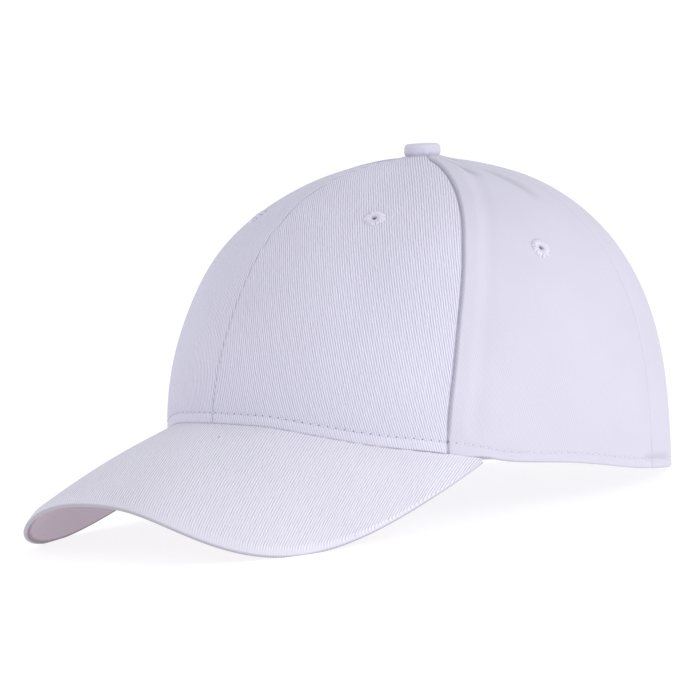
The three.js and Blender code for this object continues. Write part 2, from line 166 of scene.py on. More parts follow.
def noise(tree, place, scale, detail):
    return add_node(tree, "ShaderNodeTexNoise", {
        "Vector": place, "Scale": scale, "Detail": detail}).outputs["Fac"]


def ranged(tree, value, start, end, low, high):
    """Low where a value is start or less, high where it is end or more, and even between them."""
    return add_node(tree, "ShaderNodeMapRange", {
        "Value": value, "From Min": start, "From Max": end, "To Min": low, "To Max": high}).outputs[0]


def mixed(tree, factor, low, high, kind="FLOAT"):
    return add_node(tree, "ShaderNodeMix", {
        "Factor": factor, "A": low, "B": high}, data_type=kind).outputs["Result"]


def arithmetic(tree, operation, *values):
    return add_node(tree, "ShaderNodeMath", dict(enumerate(values)), operation=operation).outputs[0]


def multiplied(tree, vector, factors):
    return add_node(tree, "ShaderNodeVectorMath", {
        0: vector, 1: factors}, operation="MULTIPLY").outputs["Vector"]


def vertex_mark(tree, name):
    return add_node(tree, "ShaderNodeAttribute", attribute_name=name).outputs["Fac"]


def cloth_surface(tree, colour, darkest, height, bump_strength, bump_mm, surface):
    """Ends a material: its colour, darkest times as bright under full painted shade, its bumps and its
    gloss.
    """
    shade = ranged(tree, vertex_mark(tree, "painted_shade"), 0, 1, 1, darkest)
    bump = add_node(tree, "ShaderNodeBump", {
        "Strength": bump_strength, "Distance": bump_mm * MM, "Height": height})
    shader = add_node(tree, "ShaderNodeBsdfPrincipled", {
        "Base Color": multiplied(tree, colour, shade), "Normal": bump.outputs["Normal"],
        "IOR": 1.5, **surface})
    add_node(tree, "ShaderNodeOutputMaterial", {"Surface": shader.outputs["BSDF"]})


print("The front cloth's white in linear values:", [round(v, 3) for v in linear("#F2F0FC")])

# %% [markdown]
# ## Cotton twill
# Twill is woven with each weft thread passing over one and under three warp threads, one step
# further along each time, and the steps make the slanting ribs that the eye sees. On the front the
# ribs are 0.9 mm apart and lean 20 degrees from the panel's upright. An image of cloth would be the
# quick way, but ribs worked out from the cloth's own measure stay the same size on every panel.
# Each piece carries a UV map called cloth, in millimetres along the flat cloth, and the ribs are a
# wave across it that swings about the cloth's middle tone, wide on a thick float and narrow on a
# thin one. The wave's dark side is painted shade in the hollows between the ribs, and a bump shapes
# them too. Cotton is dull: the roughness is high, and a little sheen stands for its fuzz.

# %% Cotton twill material
RIB_WANDER = 0.45
# How bright the cloth is under full painted shade
PAINTED_SHADE_DARKEST = 0.62
# Where the middle tone lies between the ribs' hollows, 0, and their tops, 1
MIDDLE_HEIGHT = 0.42
# The brim's lower face is the same white cloth; this colour is painted shade with a warm, pinkish cast
BRIM_UNDERSIDE_SHADE = "#B5A6B2"
COTTON = {"Roughness": 0.92, "Specular IOR Level": 0.25, "Sheen Weight": 0.12, "Sheen Roughness": 0.6}


def rib_wave(tree, cloth, rib_mm, rib_angle):
    """A wave from -0.5 to 0.5 across the twill's ribs, which wander a little."""
    across = (-math.sin(rib_angle) / rib_mm, math.cos(rib_angle) / rib_mm, 0)
    count = add_node(tree, "ShaderNodeVectorMath", {0: cloth, 1: across}, operation="DOT_PRODUCT")
    wander = arithmetic(tree, "MULTIPLY", noise(tree, cloth, 0.09, 2.0), RIB_WANDER)
    place = arithmetic(tree, "ADD", count.outputs["Value"], wander)
    angle = arithmetic(tree, "MULTIPLY", place, 2 * math.pi)
    return arithmetic(tree, "MULTIPLY", arithmetic(tree, "SINE", angle), 0.5)


def cotton_twill(name, light, hollow, rib_mm, rib_angle_degrees, rib_height_mm=0.09, float_ribs=2.9,
                 thinnest=0.35, felting=0.0, pressed_height=0.7):
    """Woven cotton twill: light is the ribs' colour, hollow the colour between them, which is painted
    shade.

    float_ribs is a float's length in rib widths, thinnest how much a thin float shows, and felting
    how far the ribs fade where washing has felted the cloth. pressed_height is where the cloth lies,
    between hollow and light, once it is pressed flat.
    """
    material = new_material(name)
    tree = material.node_tree
    rib_angle = math.radians(rib_angle_degrees)
    cloth = add_node(tree, "ShaderNodeUVMap", uv_map="cloth").outputs["UV"]
    wave = rib_wave(tree, cloth, rib_mm, rib_angle)
    # Yarn slubs: a rib is a row of short floats, some thick and light, some thin
    along_ribs = add_node(tree, "ShaderNodeVectorRotate", {
        "Vector": cloth, "Angle": -rib_angle}, rotation_type="Z_AXIS").outputs["Vector"]
    floats = multiplied(tree, along_ribs, (1 / (float_ribs * rib_mm), 1 / rib_mm, 1))
    uneven = ranged(tree, noise(tree, floats, 1.0, 2.0), 0.32, 0.68, thinnest, 1.0)
    yarn = arithmetic(tree, "MULTIPLY_ADD", wave, uneven, MIDDLE_HEIGHT)
    # Where washing has felted the fuzz, in patches a few millimetres wide, the ribs fade
    felted = ranged(tree, noise(tree, cloth, 0.17, 2.0), 0.46, 0.62, 0.0, felting)
    ribs = mixed(tree, felted, yarn, MIDDLE_HEIGHT)
    # Where the cloth is folded hard round an edge, or lies under the hem's stitches, its ribs are pressed
    # flat; a pressed_height above the middle tone also lightens it, painted light
    height = mixed(tree, vertex_mark(tree, "pressed"), ribs, pressed_height)
    colour = mixed(tree, height, linear(hollow), linear(light), "RGBA")
    # Washed cotton varies by a few parts in a hundred over some centimetres
    washed = ranged(tree, noise(tree, cloth, 0.03, 3.0), 0.25, 0.75, 0.97, 1.02)
    toned = multiplied(tree, colour, washed)
    # Under the brim the colour is painted shade with a warm, pinkish cast, without ribs
    shaded_underneath = mixed(tree, vertex_mark(tree, "underside"), toned, linear(BRIM_UNDERSIDE_SHADE), "RGBA")
    # Hardly any light gets between the two cloths of a seam, into a fold or under an edge, so shade is
    # painted there
    cloth_surface(tree, shaded_underneath, PAINTED_SHADE_DARKEST, height, 0.7, rib_height_mm, COTTON)
    return material


# The front, sides, button and brim are one white cloth; the brim's copy is lighter and the sides' a little
# darker with flatter ribs: painted light and shade
front_twill = cotton_twill(
    "white_cotton_twill_front", "#F2F0FC", "#AFADC1", 0.90, 110, thinnest=0.24)
side_twill = cotton_twill(
    "white_cotton_twill_side", "#D3D1DE", "#C6C4D3", 0.95, 110, rib_height_mm=0.02)
button_twill = cotton_twill(
    "white_cotton_twill_button", "#D6D4E1", "#CDCBD9", 0.7, 110, rib_height_mm=0.02)
brim_twill = cotton_twill(
    "white_cotton_twill_brim", "#FAF8FF", "#BCBACB", 1.08, 118.6,
    rib_height_mm=0.12, float_ribs=2.2, thinnest=0.3, felting=0.5, pressed_height=MIDDLE_HEIGHT)
lining_twill = cotton_twill("white_cotton_twill_sweatband", "#F0EEF6", "#D2D0DC", 0.95, 45)
twills = (front_twill, side_twill, button_twill, brim_twill, lining_twill)
print("Twill materials:", [twill.name for twill in twills])

# %% [markdown]
# ## Thread and needle holes
# Polyester-cotton thread is two or three plies twisted together, with a faint gloss. The twist is
# far finer than a pixel, so it is drawn as a soft slanting bump on the object's own coordinates.
# Where the needle went in, the thread dives into the cloth and leaves a small hole; the thread's darkening
# there and the hole's dark cone are painted shade.

# %% Thread and hole materials
TWIST_MM = 0.45
HOLE_SHADE = 0.12
SEWING_THREAD = {"Roughness": 0.6, "Specular IOR Level": 0.35, "Sheen Weight": 0.08}


def sewing_thread(name, colour):
    """Twisted thread, with painted shade where it dives into a hole."""
    material = new_material(name)
    tree = material.node_tree
    place = add_node(tree, "ShaderNodeTexCoord").outputs["Object"]
    twist = noise(tree, place, 1 / (TWIST_MM * MM), 1.0)
    toned = multiplied(tree, linear(colour)[:3], ranged(tree, twist, 0.3, 0.7, 0.93, 1.03))
    cloth_surface(tree, toned, HOLE_SHADE, twist, 0.5, 0.05, SEWING_THREAD)
    return material


white_thread = sewing_thread("white_polyester_thread", "#D7D5E2")
eyelet_thread = sewing_thread("white_embroidery_thread", "#DBD9E7")
# The padding and the needle holes are darker than the thread: painted shade in the gaps between threads
# and in the holes
eyelet_padding = sewing_thread("shadowed_embroidery_padding", "#B0AEBE")
hole_shadow = sewing_thread("shadowed_needle_hole", "#625F6E")
print("Thread materials:", white_thread.name, eyelet_thread.name, eyelet_padding.name, hole_shadow.name)

# %% [markdown]
# ## Sheets that follow a form
# A gore of a cap is a flat piece of cloth steamed into a double curve. It could be pushed out of a
# primitive by hand, but the crown's curve is known exactly, so a grid primitive is added with as
# many faces as the cloth needs and its vertices are laid on the curve. The same step writes the
# cloth UV map. The wall's thickness comes from a Solidify modifier, applied.

# %% Grid helpers
def select_only(piece):
    bpy.ops.object.select_all(action="DESELECT")
    piece.select_set(True)
    bpy.context.view_layer.objects.active = piece


def added(primitive, **settings):
    """The piece that one of Blender's primitives adds, with its place and turn applied."""
    primitive(**settings)
    bpy.ops.object.transform_apply(location=True, rotation=True, scale=False)
    return bpy.context.object


def apply_modifier(piece, kind, **settings):
    """Adds a modifier to a piece, sets it and applies it."""
    select_only(piece)
    modifier = piece.modifiers.new(kind.title(), kind)
    for name, value in settings.items():
        setattr(modifier, name, value)
    bpy.ops.object.modifier_apply(modifier=modifier.name)


def smooth(piece, degrees=40):
    select_only(piece)
    bpy.ops.object.shade_smooth_by_angle(angle=math.radians(degrees))


def mesh_points(piece):
    flat = np.empty(len(piece.data.vertices) * 3)
    piece.data.vertices.foreach_get("co", flat)
    return flat.reshape(-1, 3)


def set_points(piece, points):
    piece.data.vertices.foreach_set("co", points.ravel())
    piece.data.update()


def mark_vertices(piece, mark, values):
    attribute = piece.data.attributes.new(mark, "FLOAT", "POINT")
    attribute.data.foreach_set("value", values.astype(np.float32))


def face_corners(piece):
    """Which vertex is at each corner of a piece's faces."""
    corner = np.empty(len(piece.data.loops), int)
    piece.data.loops.foreach_get("vertex_index", corner)
    return corner


def set_cloth(piece, places):
    """Writes the cloth UV map: a place in mm for each face corner."""
    layer = piece.data.uv_layers[0]
    layer.name = "cloth"
    layer.data.foreach_set("uv", places.ravel())


def laid_grid(name, points, cloth, marks=None, lower_cloth=None, lower_from=0):
    """A grid primitive laid on points, an array of columns by rows by 3 in millimetres, upright.

    cloth is its UV map in mm. Faces from the row lower_from on take lower_cloth instead. marks are
    named values from 0 to 1 at its vertices that its material reads.
    """
    columns, rows = points.shape[0] - 1, points.shape[1] - 1
    piece = added(bpy.ops.mesh.primitive_grid_add, x_subdivisions=columns, y_subdivisions=rows, size=1)
    piece.name = piece.data.name = name
    plan = mesh_points(piece) + 0.5
    i = np.rint(plan[:, 0] * columns).astype(int)
    j = np.rint(plan[:, 1] * rows).astype(int)
    corner = face_corners(piece)
    places = cloth[i[corner], j[corner]]
    if lower_cloth is not None:
        lowest_row = j[corner].reshape(-1, 4).min(1).repeat(4)
        is_lower = (lowest_row >= lower_from)[:, None]
        places = np.where(is_lower, lower_cloth[i[corner], j[corner]], places)
    set_cloth(piece, places)
    for mark, values in (marks or {}).items():
        mark_vertices(piece, mark, values[i, j])
    set_points(piece, to_rest(points[i, j]))
    return piece


def finish_piece(piece, material, slot, *nodes):
    """Gives a piece its material and its body, and hides the CAD nodes that it stands for; slot is not
    used.
    """
    piece.data.materials.clear()
    piece.data.materials.append(material)
    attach(piece, "root")
    if nodes:
        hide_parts(*nodes)
    print(piece.name, "has", sum(len(face.vertices) - 2 for face in piece.data.polygons), "triangles")
    return piece


def crowded(count, crowding):
    """Steps from 0 to 1 that lie closer together near both ends."""
    even = np.linspace(0, 1, count + 1)
    return even - crowding * np.sin(2 * np.pi * even) / (2 * np.pi)


print("Steps crowd towards both ends:", crowded(8, 0.8).round(2))

# %% [markdown]
# ## The crown's form
# Seen from above the crown is an oval. Cut upright from hem to top it is a rounded curve that
# changes round the head: the stiff front leans back and turns over sharply, the sides stand up
# straight. A superellipse with two powers gives each cut, and short tables say how the powers, the
# hem and the front seam change round the cap. These are the same values as in the CAD model.

# %% Tables of the crown
HEM_HALF_WIDTH = 83.9
HEM_HALF_LENGTH = 101.6
WALL = 1.8
HALVINGS = 30
SECTIONS = {
    "azimuth": [0, 35, 65, 100, 140, 180],
    "top_power": [2.8, 2.25, 2.08, 2.07, 2.02, 2.01],
    "wall_power": [1.5, 2, 2.98, 2.97, 2.92, 2.43],
}
HEM = {
    "azimuth": [0, 15, 30, 45, 57, 66, 74, 90, 115, 140, 160, 180],
    "height": [45, 44.3, 40.7, 36.2, 33.4, 30.8, 27.6, 25.2, 19.8, 17.2, 16.2, 16],
}
FRONT_SEAM = {"rise": [0, 0.35, 0.7, 1], "azimuth": [60, 62.6, 66.9, 71.4]}
BACK_SEAM_AZIMUTH = 120


def along_table(table, across, up, place):
    """A smooth curve through a table's columns that never overshoots them."""
    x, y = np.array(table[across], float), np.array(table[up], float)
    slopes = np.diff(y) / np.diff(x)
    before, after = slopes[:-1], slopes[1:]
    tangents = np.zeros(len(x))
    same_way = before * after > 0
    tangents[1:-1][same_way] = (2 * before * after)[same_way] / (before + after)[same_way]
    place = np.clip(place, x[0], x[-1])
    i = np.clip(np.searchsorted(x, place) - 1, 0, len(x) - 2)
    span = x[i + 1] - x[i]
    s = (place - x[i]) / span
    start = y[i] * (1 + 2 * s) * (1 - s) ** 2 + tangents[i] * span * s * (1 - s) ** 2
    return start + y[i + 1] * s * s * (3 - 2 * s) - tangents[i + 1] * span * s * s * (1 - s)


def folded_degrees(azimuth):
    return np.degrees(np.abs(np.arctan2(np.sin(azimuth), np.cos(azimuth))))


def hem_height(azimuth):
    return along_table(HEM, "azimuth", "height", folded_degrees(azimuth))


def crown(azimuth, share):
    """Points on the outside of the crown and how far up they are; azimuth 0 is the front."""
    degrees = folded_degrees(azimuth)
    wall_power = along_table(SECTIONS, "azimuth", "wall_power", degrees)
    top_power = along_table(SECTIONS, "azimuth", "top_power", degrees)
    turn = np.pi / 2 * share ** (wall_power / 2)
    reach = np.maximum(np.cos(turn), 0) ** (2 / top_power)
    rise = np.sin(turn) ** (2 / wall_power)
    hem = hem_height(azimuth)
    points = np.stack([
        HEM_HALF_WIDTH * np.sin(azimuth) * reach,
        CROWN_TOP[1] * (1 - reach) - HEM_HALF_LENGTH * np.cos(azimuth) * reach,
        hem + (CROWN_TOP[2] - hem) * rise,
    ], -1)
    return points, rise


def unit(vectors):
    return vectors / np.linalg.norm(vectors, axis=-1, keepdims=True)


def crown_normal(azimuth, share):
    step = 0.002
    low = np.maximum(share - step, step)
    along = crown(azimuth + step, share)[0] - crown(azimuth - step, share)[0]
    up = crown(azimuth, low + 2 * step)[0] - crown(azimuth, low)[0]
    return unit(np.cross(along, up))


def share_at(azimuth, target, measure):
    """Share up the crown where a measure of its point, which grows upwards, meets its target."""
    low, high = np.zeros_like(azimuth), np.ones_like(azimuth)
    for _ in range(HALVINGS):
        middle = (low + high) / 2
        below = measure(azimuth, middle) < target
        low, high = np.where(below, middle, low), np.where(below, high, middle)
    return (low + high) / 2


print("The hem is", round(2 * HEM_HALF_WIDTH), "by", round(2 * HEM_HALF_LENGTH), "mm")
print("The top is at", CROWN_TOP[2], "mm")

# %% [markdown]
# ## The six panels
# Each gore runs from the hem to the button between two seams. The grid has more columns near its
# seams, because that is where the cloth does something: it dips into the seam, and beside the front
# seam the cut edges are pressed back under the side panel and lift it in a low, soft ridge. That
# relief is added along the cloth's normal before the wall gets its thickness.

# %% Lay out a gore
PANEL_COLUMNS = 84
PANEL_ROWS = 120
SECTION_STEPS = 240
SEAM_ROUNDS = 8
COLUMN_CROWDING = 0.86
ROW_CROWDING = 0.8
TOP_HOLE_RADIUS = 3.0


def run_length(points, axis=0):
    """How far it is along the columns, axis 0, or the rows, axis 1, of points from the first one."""
    steps = np.linalg.norm(np.diff(points, axis=axis), axis=-1)
    return np.concatenate([np.zeros_like(np.take(steps, [0], axis)), np.cumsum(steps, axis)], axis)


def places_along(spots, length, values):
    """Points or normals at spots along a line, from those at its lengths."""
    return np.stack([np.interp(spots, length, values[:, k]) for k in range(3)], -1)


def gore(start_seam, end_seam, side):
    """Points of a gore between two seams on the cap's left (1) or right (-1), and its cloth UV in mm.

    A seam is a function that gives its azimuth at a rise. The distances in mm from the first seam,
    from the last one and from the hem follow.
    """
    across = crowded(PANEL_COLUMNS, COLUMN_CROWDING)[:, None]
    shares = np.linspace(0, 1, SECTION_STEPS)[None] ** 1.15
    rise = np.broadcast_to(shares, (PANEL_COLUMNS + 1, SECTION_STEPS))
    for _ in range(SEAM_ROUNDS):
        azimuth = side * (start_seam(rise) + (end_seam(rise) - start_seam(rise)) * across)
        dense, rise = crown(azimuth, np.broadcast_to(shares, azimuth.shape))
    from_top = np.hypot(dense[..., 0], dense[..., 1] - CROWN_TOP[1])
    length = run_length(dense, 1)
    rows = crowded(PANEL_ROWS, ROW_CROWDING)
    points = np.empty((PANEL_COLUMNS + 1, PANEL_ROWS + 1, 3))
    for i in range(PANEL_COLUMNS + 1):
        head = np.interp(-TOP_HOLE_RADIUS, -from_top[i], length[i])
        points[i] = places_along(rows * head, length[i], dense[i])
    u, v = run_length(points), run_length(points, 1)
    middle = PANEL_COLUMNS // 2
    cloth = np.stack([u - u[middle], np.broadcast_to(v[middle], v.shape)], -1)
    return points, cloth, u, u[-1] - u, v


def grid_normals(points):
    return unit(np.cross(np.gradient(points, axis=0), np.gradient(points, axis=1)))


def bell(distance, width):
    return np.exp(-(distance / width) ** 2)


def ramp(distance, start, end):
    """0 before start, 1 after end, smooth between them."""
    s = np.clip((distance - start) / (end - start), 0, 1)
    return s * s * (3 - 2 * s)


print("Each gore is a grid of", PANEL_COLUMNS, "by", PANEL_ROWS, "faces")

# %% [markdown]
# The relief is small and every part of it has a reason. The seam dips, the turned hem rounds under,
# the hem's row of stitches pulls a furrow, and the cloth is never quite even.

# %% Relief of the cloth
SEAM_DEPTH = 0.85
SEAM_HALF_WIDTH = 0.6
# Half width of the painted shade along the seams and the hem's foot
PAINTED_SHADE_HALF_WIDTH = 0.42
SEAM_SHADOW = 0.6
HEM_STITCH_HEIGHT = 3.6
HEM_FURROW = 0.22
HEM_ROLL = 0.5
# How much the strip under the hem's stitches is pressed flat and painted lighter
HEM_PRESSED_AND_LIT = 0.25
UNEVENNESS = 0.22
# The ridge beside the front seam is level up to 5 mm and gone at 9.5 mm, where a dip follows
RIDGE = {"height": 0.8, "level_to": 5.0, "gone_at": 9.5}
DIP = {"depth": 0.35, "at": 11, "half_width": 2.4}
# Round the button the cloth stands up in a low collar, and the seams are shallower
COLLAR = {"height": 1.15, "radius": 5, "half_width": 4.5}
TOP_ENDS_AT = 16
# At its foot, in the thick hem, every seam carries dark painted shade, however shallow the seam is above
# it
SEAM_FOOT = {"dark_to": 6, "gone_at": 13, "share": 0.7}
# How far the hem's outer edge is pressed down to the brim's slope, and how much painted shade lies along
# its foot
HEM_FOOT = {
    "azimuth": [0, 20, 40, 55, 64, 70, 85, 100, 180],
    "drop": [0.55, 0.6, 0.72, 0.85, 1.1, 0, 0, 0, 0],
    "shade": [0.75, 0.75, 0.4, 0.35, 0.4, 0.9, 0.6, 0.4, 0.4],
}
# Soft hollows that handling left: the place on the crown, how deep and how wide in mm
HOLLOWS = [
    {"azimuth": 108.5, "share": 0.278, "depth": 0.8, "radius": 4.5},
    {"azimuth": 40, "share": 0.72, "depth": 1.0, "radius": 26},
    {"azimuth": -40, "share": 0.72, "depth": 1.0, "radius": 26},
    {"azimuth": 122, "share": 0.86, "depth": 1.1, "radius": 13},
    {"azimuth": -122, "share": 0.86, "depth": 1.1, "radius": 13},
]
# Soft folds on the wearer's left: where they start and end, how deep and half as wide in mm, and how much
# painted shade lies in them
FOLDS = [
    {"azimuth": [86.5, 89], "share": [0.91, 0.82], "depth": 0.5, "half_width": 1.7, "shade": 0.75},
    {"azimuth": [103.5, 106], "share": [0.87, 0.715], "depth": 0.8, "half_width": 2.9, "shade": 0.55},
    {"azimuth": [116, 132], "share": [0.026, 0.029], "depth": 0.3, "half_width": 1.3, "shade": 0.5},
]


def crown_spot(azimuth_degrees, share):
    return crown(np.array(math.radians(azimuth_degrees)), np.array(share))[0]


def fold_form(points, fold):
    """1 along the middle of a fold, less towards its sides and its ends."""
    start, end = [crown_spot(fold["azimuth"][k], fold["share"][k]) for k in (0, 1)]
    along = np.clip((points - start) @ (end - start) / ((end - start) @ (end - start)), 0, 1)
    nearest = start + along[..., None] * (end - start)
    from_fold = np.linalg.norm(points - nearest, axis=-1)
    return bell(from_fold, fold["half_width"]) * np.sin(np.pi * (0.1 + 0.8 * along))


def soft_relief(points):
    """Unevenness of the cloth away from its seams, in mm outwards."""
    waves = np.sin(points @ [0.061, 0.043, 0.027] + 1.3) * np.sin(points @ [-0.021, 0.052, 0.058])
    relief = UNEVENNESS * waves
    for hollow in HOLLOWS:
        away_from = np.linalg.norm(points - crown_spot(hollow["azimuth"], hollow["share"]), axis=-1)
        relief = relief - hollow["depth"] * bell(away_from, hollow["radius"])
    return relief - sum(fold["depth"] * fold_form(points, fold) for fold in FOLDS)


def panel_relief(points, from_start, from_end, up, strength, ridge_from):
    """How far the cloth stands out from the crown's form, in mm; strength is that of its two seams."""
    from_top = np.hypot(points[..., 0], points[..., 1] - CROWN_TOP[1])
    free_of_top = ramp(from_top, COLLAR["radius"], TOP_ENDS_AT)
    seams = -SEAM_DEPTH * (
        strength[0] * bell(from_start, SEAM_HALF_WIDTH) + strength[1] * bell(from_end, SEAM_HALF_WIDTH))
    roll = -HEM_ROLL * (1 - np.sqrt(1 - np.clip(1 - up / HEM_ROLL, 0, 1) ** 2))
    furrow = -HEM_FURROW * bell(up - HEM_STITCH_HEIGHT, 0.8)
    collar = COLLAR["height"] * bell(from_top - COLLAR["radius"], COLLAR["half_width"])
    soft = soft_relief(points) * ramp(up, 4, 30)
    relief = seams * (0.35 + 0.65 * free_of_top) + roll + furrow + collar + soft
    if ridge_from is not None:
        beside = from_start if ridge_from == "start" else from_end
        ridge = RIDGE["height"] * (1 - ramp(beside, RIDGE["level_to"], RIDGE["gone_at"]))
        dip = DIP["depth"] * bell(beside - DIP["at"], DIP["half_width"])
        relief = relief + (ridge - dip) * ramp(beside, 0, 1.0) * ramp(up, 3, 12) * free_of_top
    return relief


print("The ridge beside the front seam is", RIDGE["height"], "mm high, the collar", COLLAR["height"], "mm")

# %% Sew up the six panels
def hem_foot(points, column):
    """A column of the table of the hem's foot at the points' azimuths."""
    azimuth = np.arctan2(points[..., 0], -points[..., 1] * HEM_HALF_WIDTH / HEM_HALF_LENGTH)
    return along_table(HEM_FOOT, "azimuth", column, folded_degrees(azimuth))


def middle_seam(rise):
    return np.zeros_like(rise)


def front_seam(rise):
    return np.radians(along_table(FRONT_SEAM, "rise", "azimuth", rise))


def back_seam(rise):
    return np.full_like(rise, math.radians(BACK_SEAM_AZIMUTH))


def far_seam(rise):
    return np.full_like(rise, math.pi)


# How deep each seam is, and how much painted shade it carries: the one beside the stiff front is the
# deepest
SEAM_STRENGTH = {middle_seam: 0.45, front_seam: 1.0, back_seam: 0.3, far_seam: 0.6}
panel_plan = {
    "front_panel_left": (middle_seam, front_seam, 1, None),
    "side_panel_left": (front_seam, back_seam, 1, "start"),
    "back_panel_left": (back_seam, far_seam, 1, None),
    "front_panel_right": (front_seam, middle_seam, -1, None),
    "side_panel_right": (back_seam, front_seam, -1, "end"),
    "back_panel_right": (far_seam, back_seam, -1, None),
}
panels = {}
for node_name, (start_seam, end_seam, side, ridge_from) in panel_plan.items():
    points, cloth, from_start, from_end, up = gore(start_seam, end_seam, side)
    normals = grid_normals(points)
    strength = [SEAM_STRENGTH[start_seam], SEAM_STRENGTH[end_seam]]
    relief = panel_relief(points, from_start, from_end, up, strength, ridge_from)
    # Painted shade: a thin dark line along the hem's foot and along each seam, darker at a seam's foot,
    # and in the folds
    at_foot = 1 - ramp(up, SEAM_FOOT["dark_to"], SEAM_FOOT["gone_at"])
    painted_shades = [bell(up, PAINTED_SHADE_HALF_WIDTH) * hem_foot(points, "shade")]
    for seam_strength, from_seam in zip(strength, (from_start, from_end)):
        depth = seam_strength + SEAM_FOOT["share"] * (1 - seam_strength) * at_foot
        painted_shades.append(SEAM_SHADOW * depth * bell(from_seam, PAINTED_SHADE_HALF_WIDTH))
    painted_shades += [fold["shade"] * fold_form(points, fold) for fold in FOLDS]
    painted_shade = np.max(painted_shades, axis=0)
    laid = points + normals * relief[..., None]
    laid[..., 2] -= hem_foot(points, "drop") * (1 - ramp(up, 0, 4))
    # Under the hem's row of stitches the cloth is pressed flatter and drawn a little lighter: painted
    # light in the hem's shade
    hem_pressed_and_lit = HEM_PRESSED_AND_LIT * (1 - ramp(up, HEM_STITCH_HEIGHT - 0.8, HEM_STITCH_HEIGHT + 0.2))
    panel = laid_grid("cloth_" + node_name, laid, cloth, {"painted_shade": painted_shade, "pressed": hem_pressed_and_lit})
    apply_modifier(panel, "SOLIDIFY", thickness=WALL * MM, offset=-1)
    panels[node_name] = panel
    width, height = (from_start + from_end)[0, 0], up[0, -1]
    print(node_name, "is", round(float(width)), "mm wide and", round(float(height)), "mm high")

# %% [markdown]
# ## Holes for the eyelets and the ponytail
# The panels are punched before the eyelets are embroidered, and the back ones are cut to a
# round-topped arch before its edge is bound. A Boolean modifier with a plain cutter does both: the
# cut edges end up under thread and tape, so they may stay sharp.

# %% Punch the eyelets
EYELETS = {
    "front": {"azimuth": 38.7, "share": 0.6},
    "side": {"azimuth": 91, "share": 0.545},
    "back": {"azimuth": 153, "share": 0.56},
}
EYELET_RADIUS = 4.2
EYELET_HOLE_RADIUS = 0.45
PUNCHED_RADIUS = 1.9
PUNCH_LENGTH = 12


def facing_matrix(centre, normal, along):
    """Places a thing made with its length on X and its face on Z, at a point in upright millimetres."""
    normal, along = Vector(turned(normal)), Vector(turned(along))
    side = normal.cross(along).normalized()
    along = side.cross(normal)
    matrix = Matrix((along, side, normal)).transposed().to_4x4()
    matrix.translation = Vector(to_rest(centre))
    return matrix


def eyelet_base(panel, side):
    """The place of an eyelet on the cap's left (1) or right (-1), facing out of its panel."""
    azimuth = np.array(side * math.radians(EYELETS[panel]["azimuth"]))
    share = np.array(EYELETS[panel]["share"])
    centre, normal = crown(azimuth, share)[0], crown_normal(azimuth, share)
    return facing_matrix(centre + normal * soft_relief(centre), normal, [0, 0, 1])


def cut_with(piece, cutter, solver="EXACT"):
    apply_modifier(piece, "BOOLEAN", object=cutter, operation="DIFFERENCE", solver=solver)
    bpy.data.objects.remove(cutter)


eyelet_bases = {}
for panel_name in EYELETS:
    for side, word in ((1, "left"), (-1, "right")):
        base = eyelet_bases[f"{panel_name}_{word}"] = eyelet_base(panel_name, side)
        punch = added(bpy.ops.mesh.primitive_cylinder_add, vertices=24,
                      radius=PUNCHED_RADIUS * MM, depth=PUNCH_LENGTH * MM)
        punch.matrix_world = base
        cut_with(panels[f"{panel_name}_panel_{word}"], punch)
print("Punched", len(eyelet_bases), "eyelet holes")

# %% Cut the ponytail opening
OPENING_HALF_WIDTH = 34
OPENING_SPRING_HEIGHT = 49
OPENING_CROWN_RISE = 36
BINDING_WIDTH = 7
OPENING_UPRIGHT_SHARE = 0.22
CUTTER_FROM_Y = 40
CUTTER_LENGTH = 90


def edit(piece, operator, **settings):
    """Runs an operator on the whole of a piece in edit mode."""
    select_only(piece)
    bpy.ops.object.mode_set(mode="EDIT")
    bpy.ops.mesh.select_all(action="SELECT")
    operator(**settings)
    bpy.ops.object.mode_set(mode="OBJECT")


def hem_beside(side_reach):
    return hem_height(math.pi - np.arcsin(side_reach / HEM_HALF_WIDTH))


def opening_outline(along, margin, foot=None):
    """Width and height of the opening's edge, from its foot on the left side to that on the right."""
    half_width = OPENING_HALF_WIDTH + margin
    foot = hem_beside(half_width) if foot is None else foot
    side = np.where(along < 0.5, 1, -1)
    from_foot = np.minimum(along, 1 - along)
    straight = foot + (OPENING_SPRING_HEIGHT - foot) * np.minimum(from_foot / OPENING_UPRIGHT_SHARE, 1)
    turn = np.maximum(from_foot - OPENING_UPRIGHT_SHARE, 0) / (0.5 - OPENING_UPRIGHT_SHARE) * np.pi / 2
    width = side * half_width * np.cos(turn)
    return width, straight + (OPENING_CROWN_RISE + margin) * np.sin(turn)


through_the_wall = {"value": tuple(turned([0, CUTTER_LENGTH * MM, 0]))}
width, height = opening_outline(np.linspace(0, 1, 61), BINDING_WIDTH - 2, foot=0.0)
outline = np.stack([width, np.full_like(width, CUTTER_FROM_Y), height], -1)
for word in ("left", "right"):
    cutter = added(bpy.ops.mesh.primitive_circle_add, vertices=len(width), radius=1, fill_type="NGON")
    set_points(cutter, to_rest(outline))
    edit(cutter, bpy.ops.mesh.extrude_region_move, TRANSFORM_OT_translate=through_the_wall)
    edit(cutter, bpy.ops.mesh.normals_make_consistent, inside=False)
    cut_with(panels[f"back_panel_{word}"], cutter, "FAST")
for node_name, panel in panels.items():
    smooth(panel)
    finish_piece(panel, front_twill if "front" in node_name else side_twill, "crown_twill", node_name)

# %% [markdown]
# ## The brim
# A brim is a stiff board between two layers of cloth, sewn round its outer edge, so it has a full
# round lip. Solidify would give it a square edge, so the grid goes all the way round its section
# instead: out over the top, round the lip, back underneath and up at the root, and then its doubled
# vertices are merged.

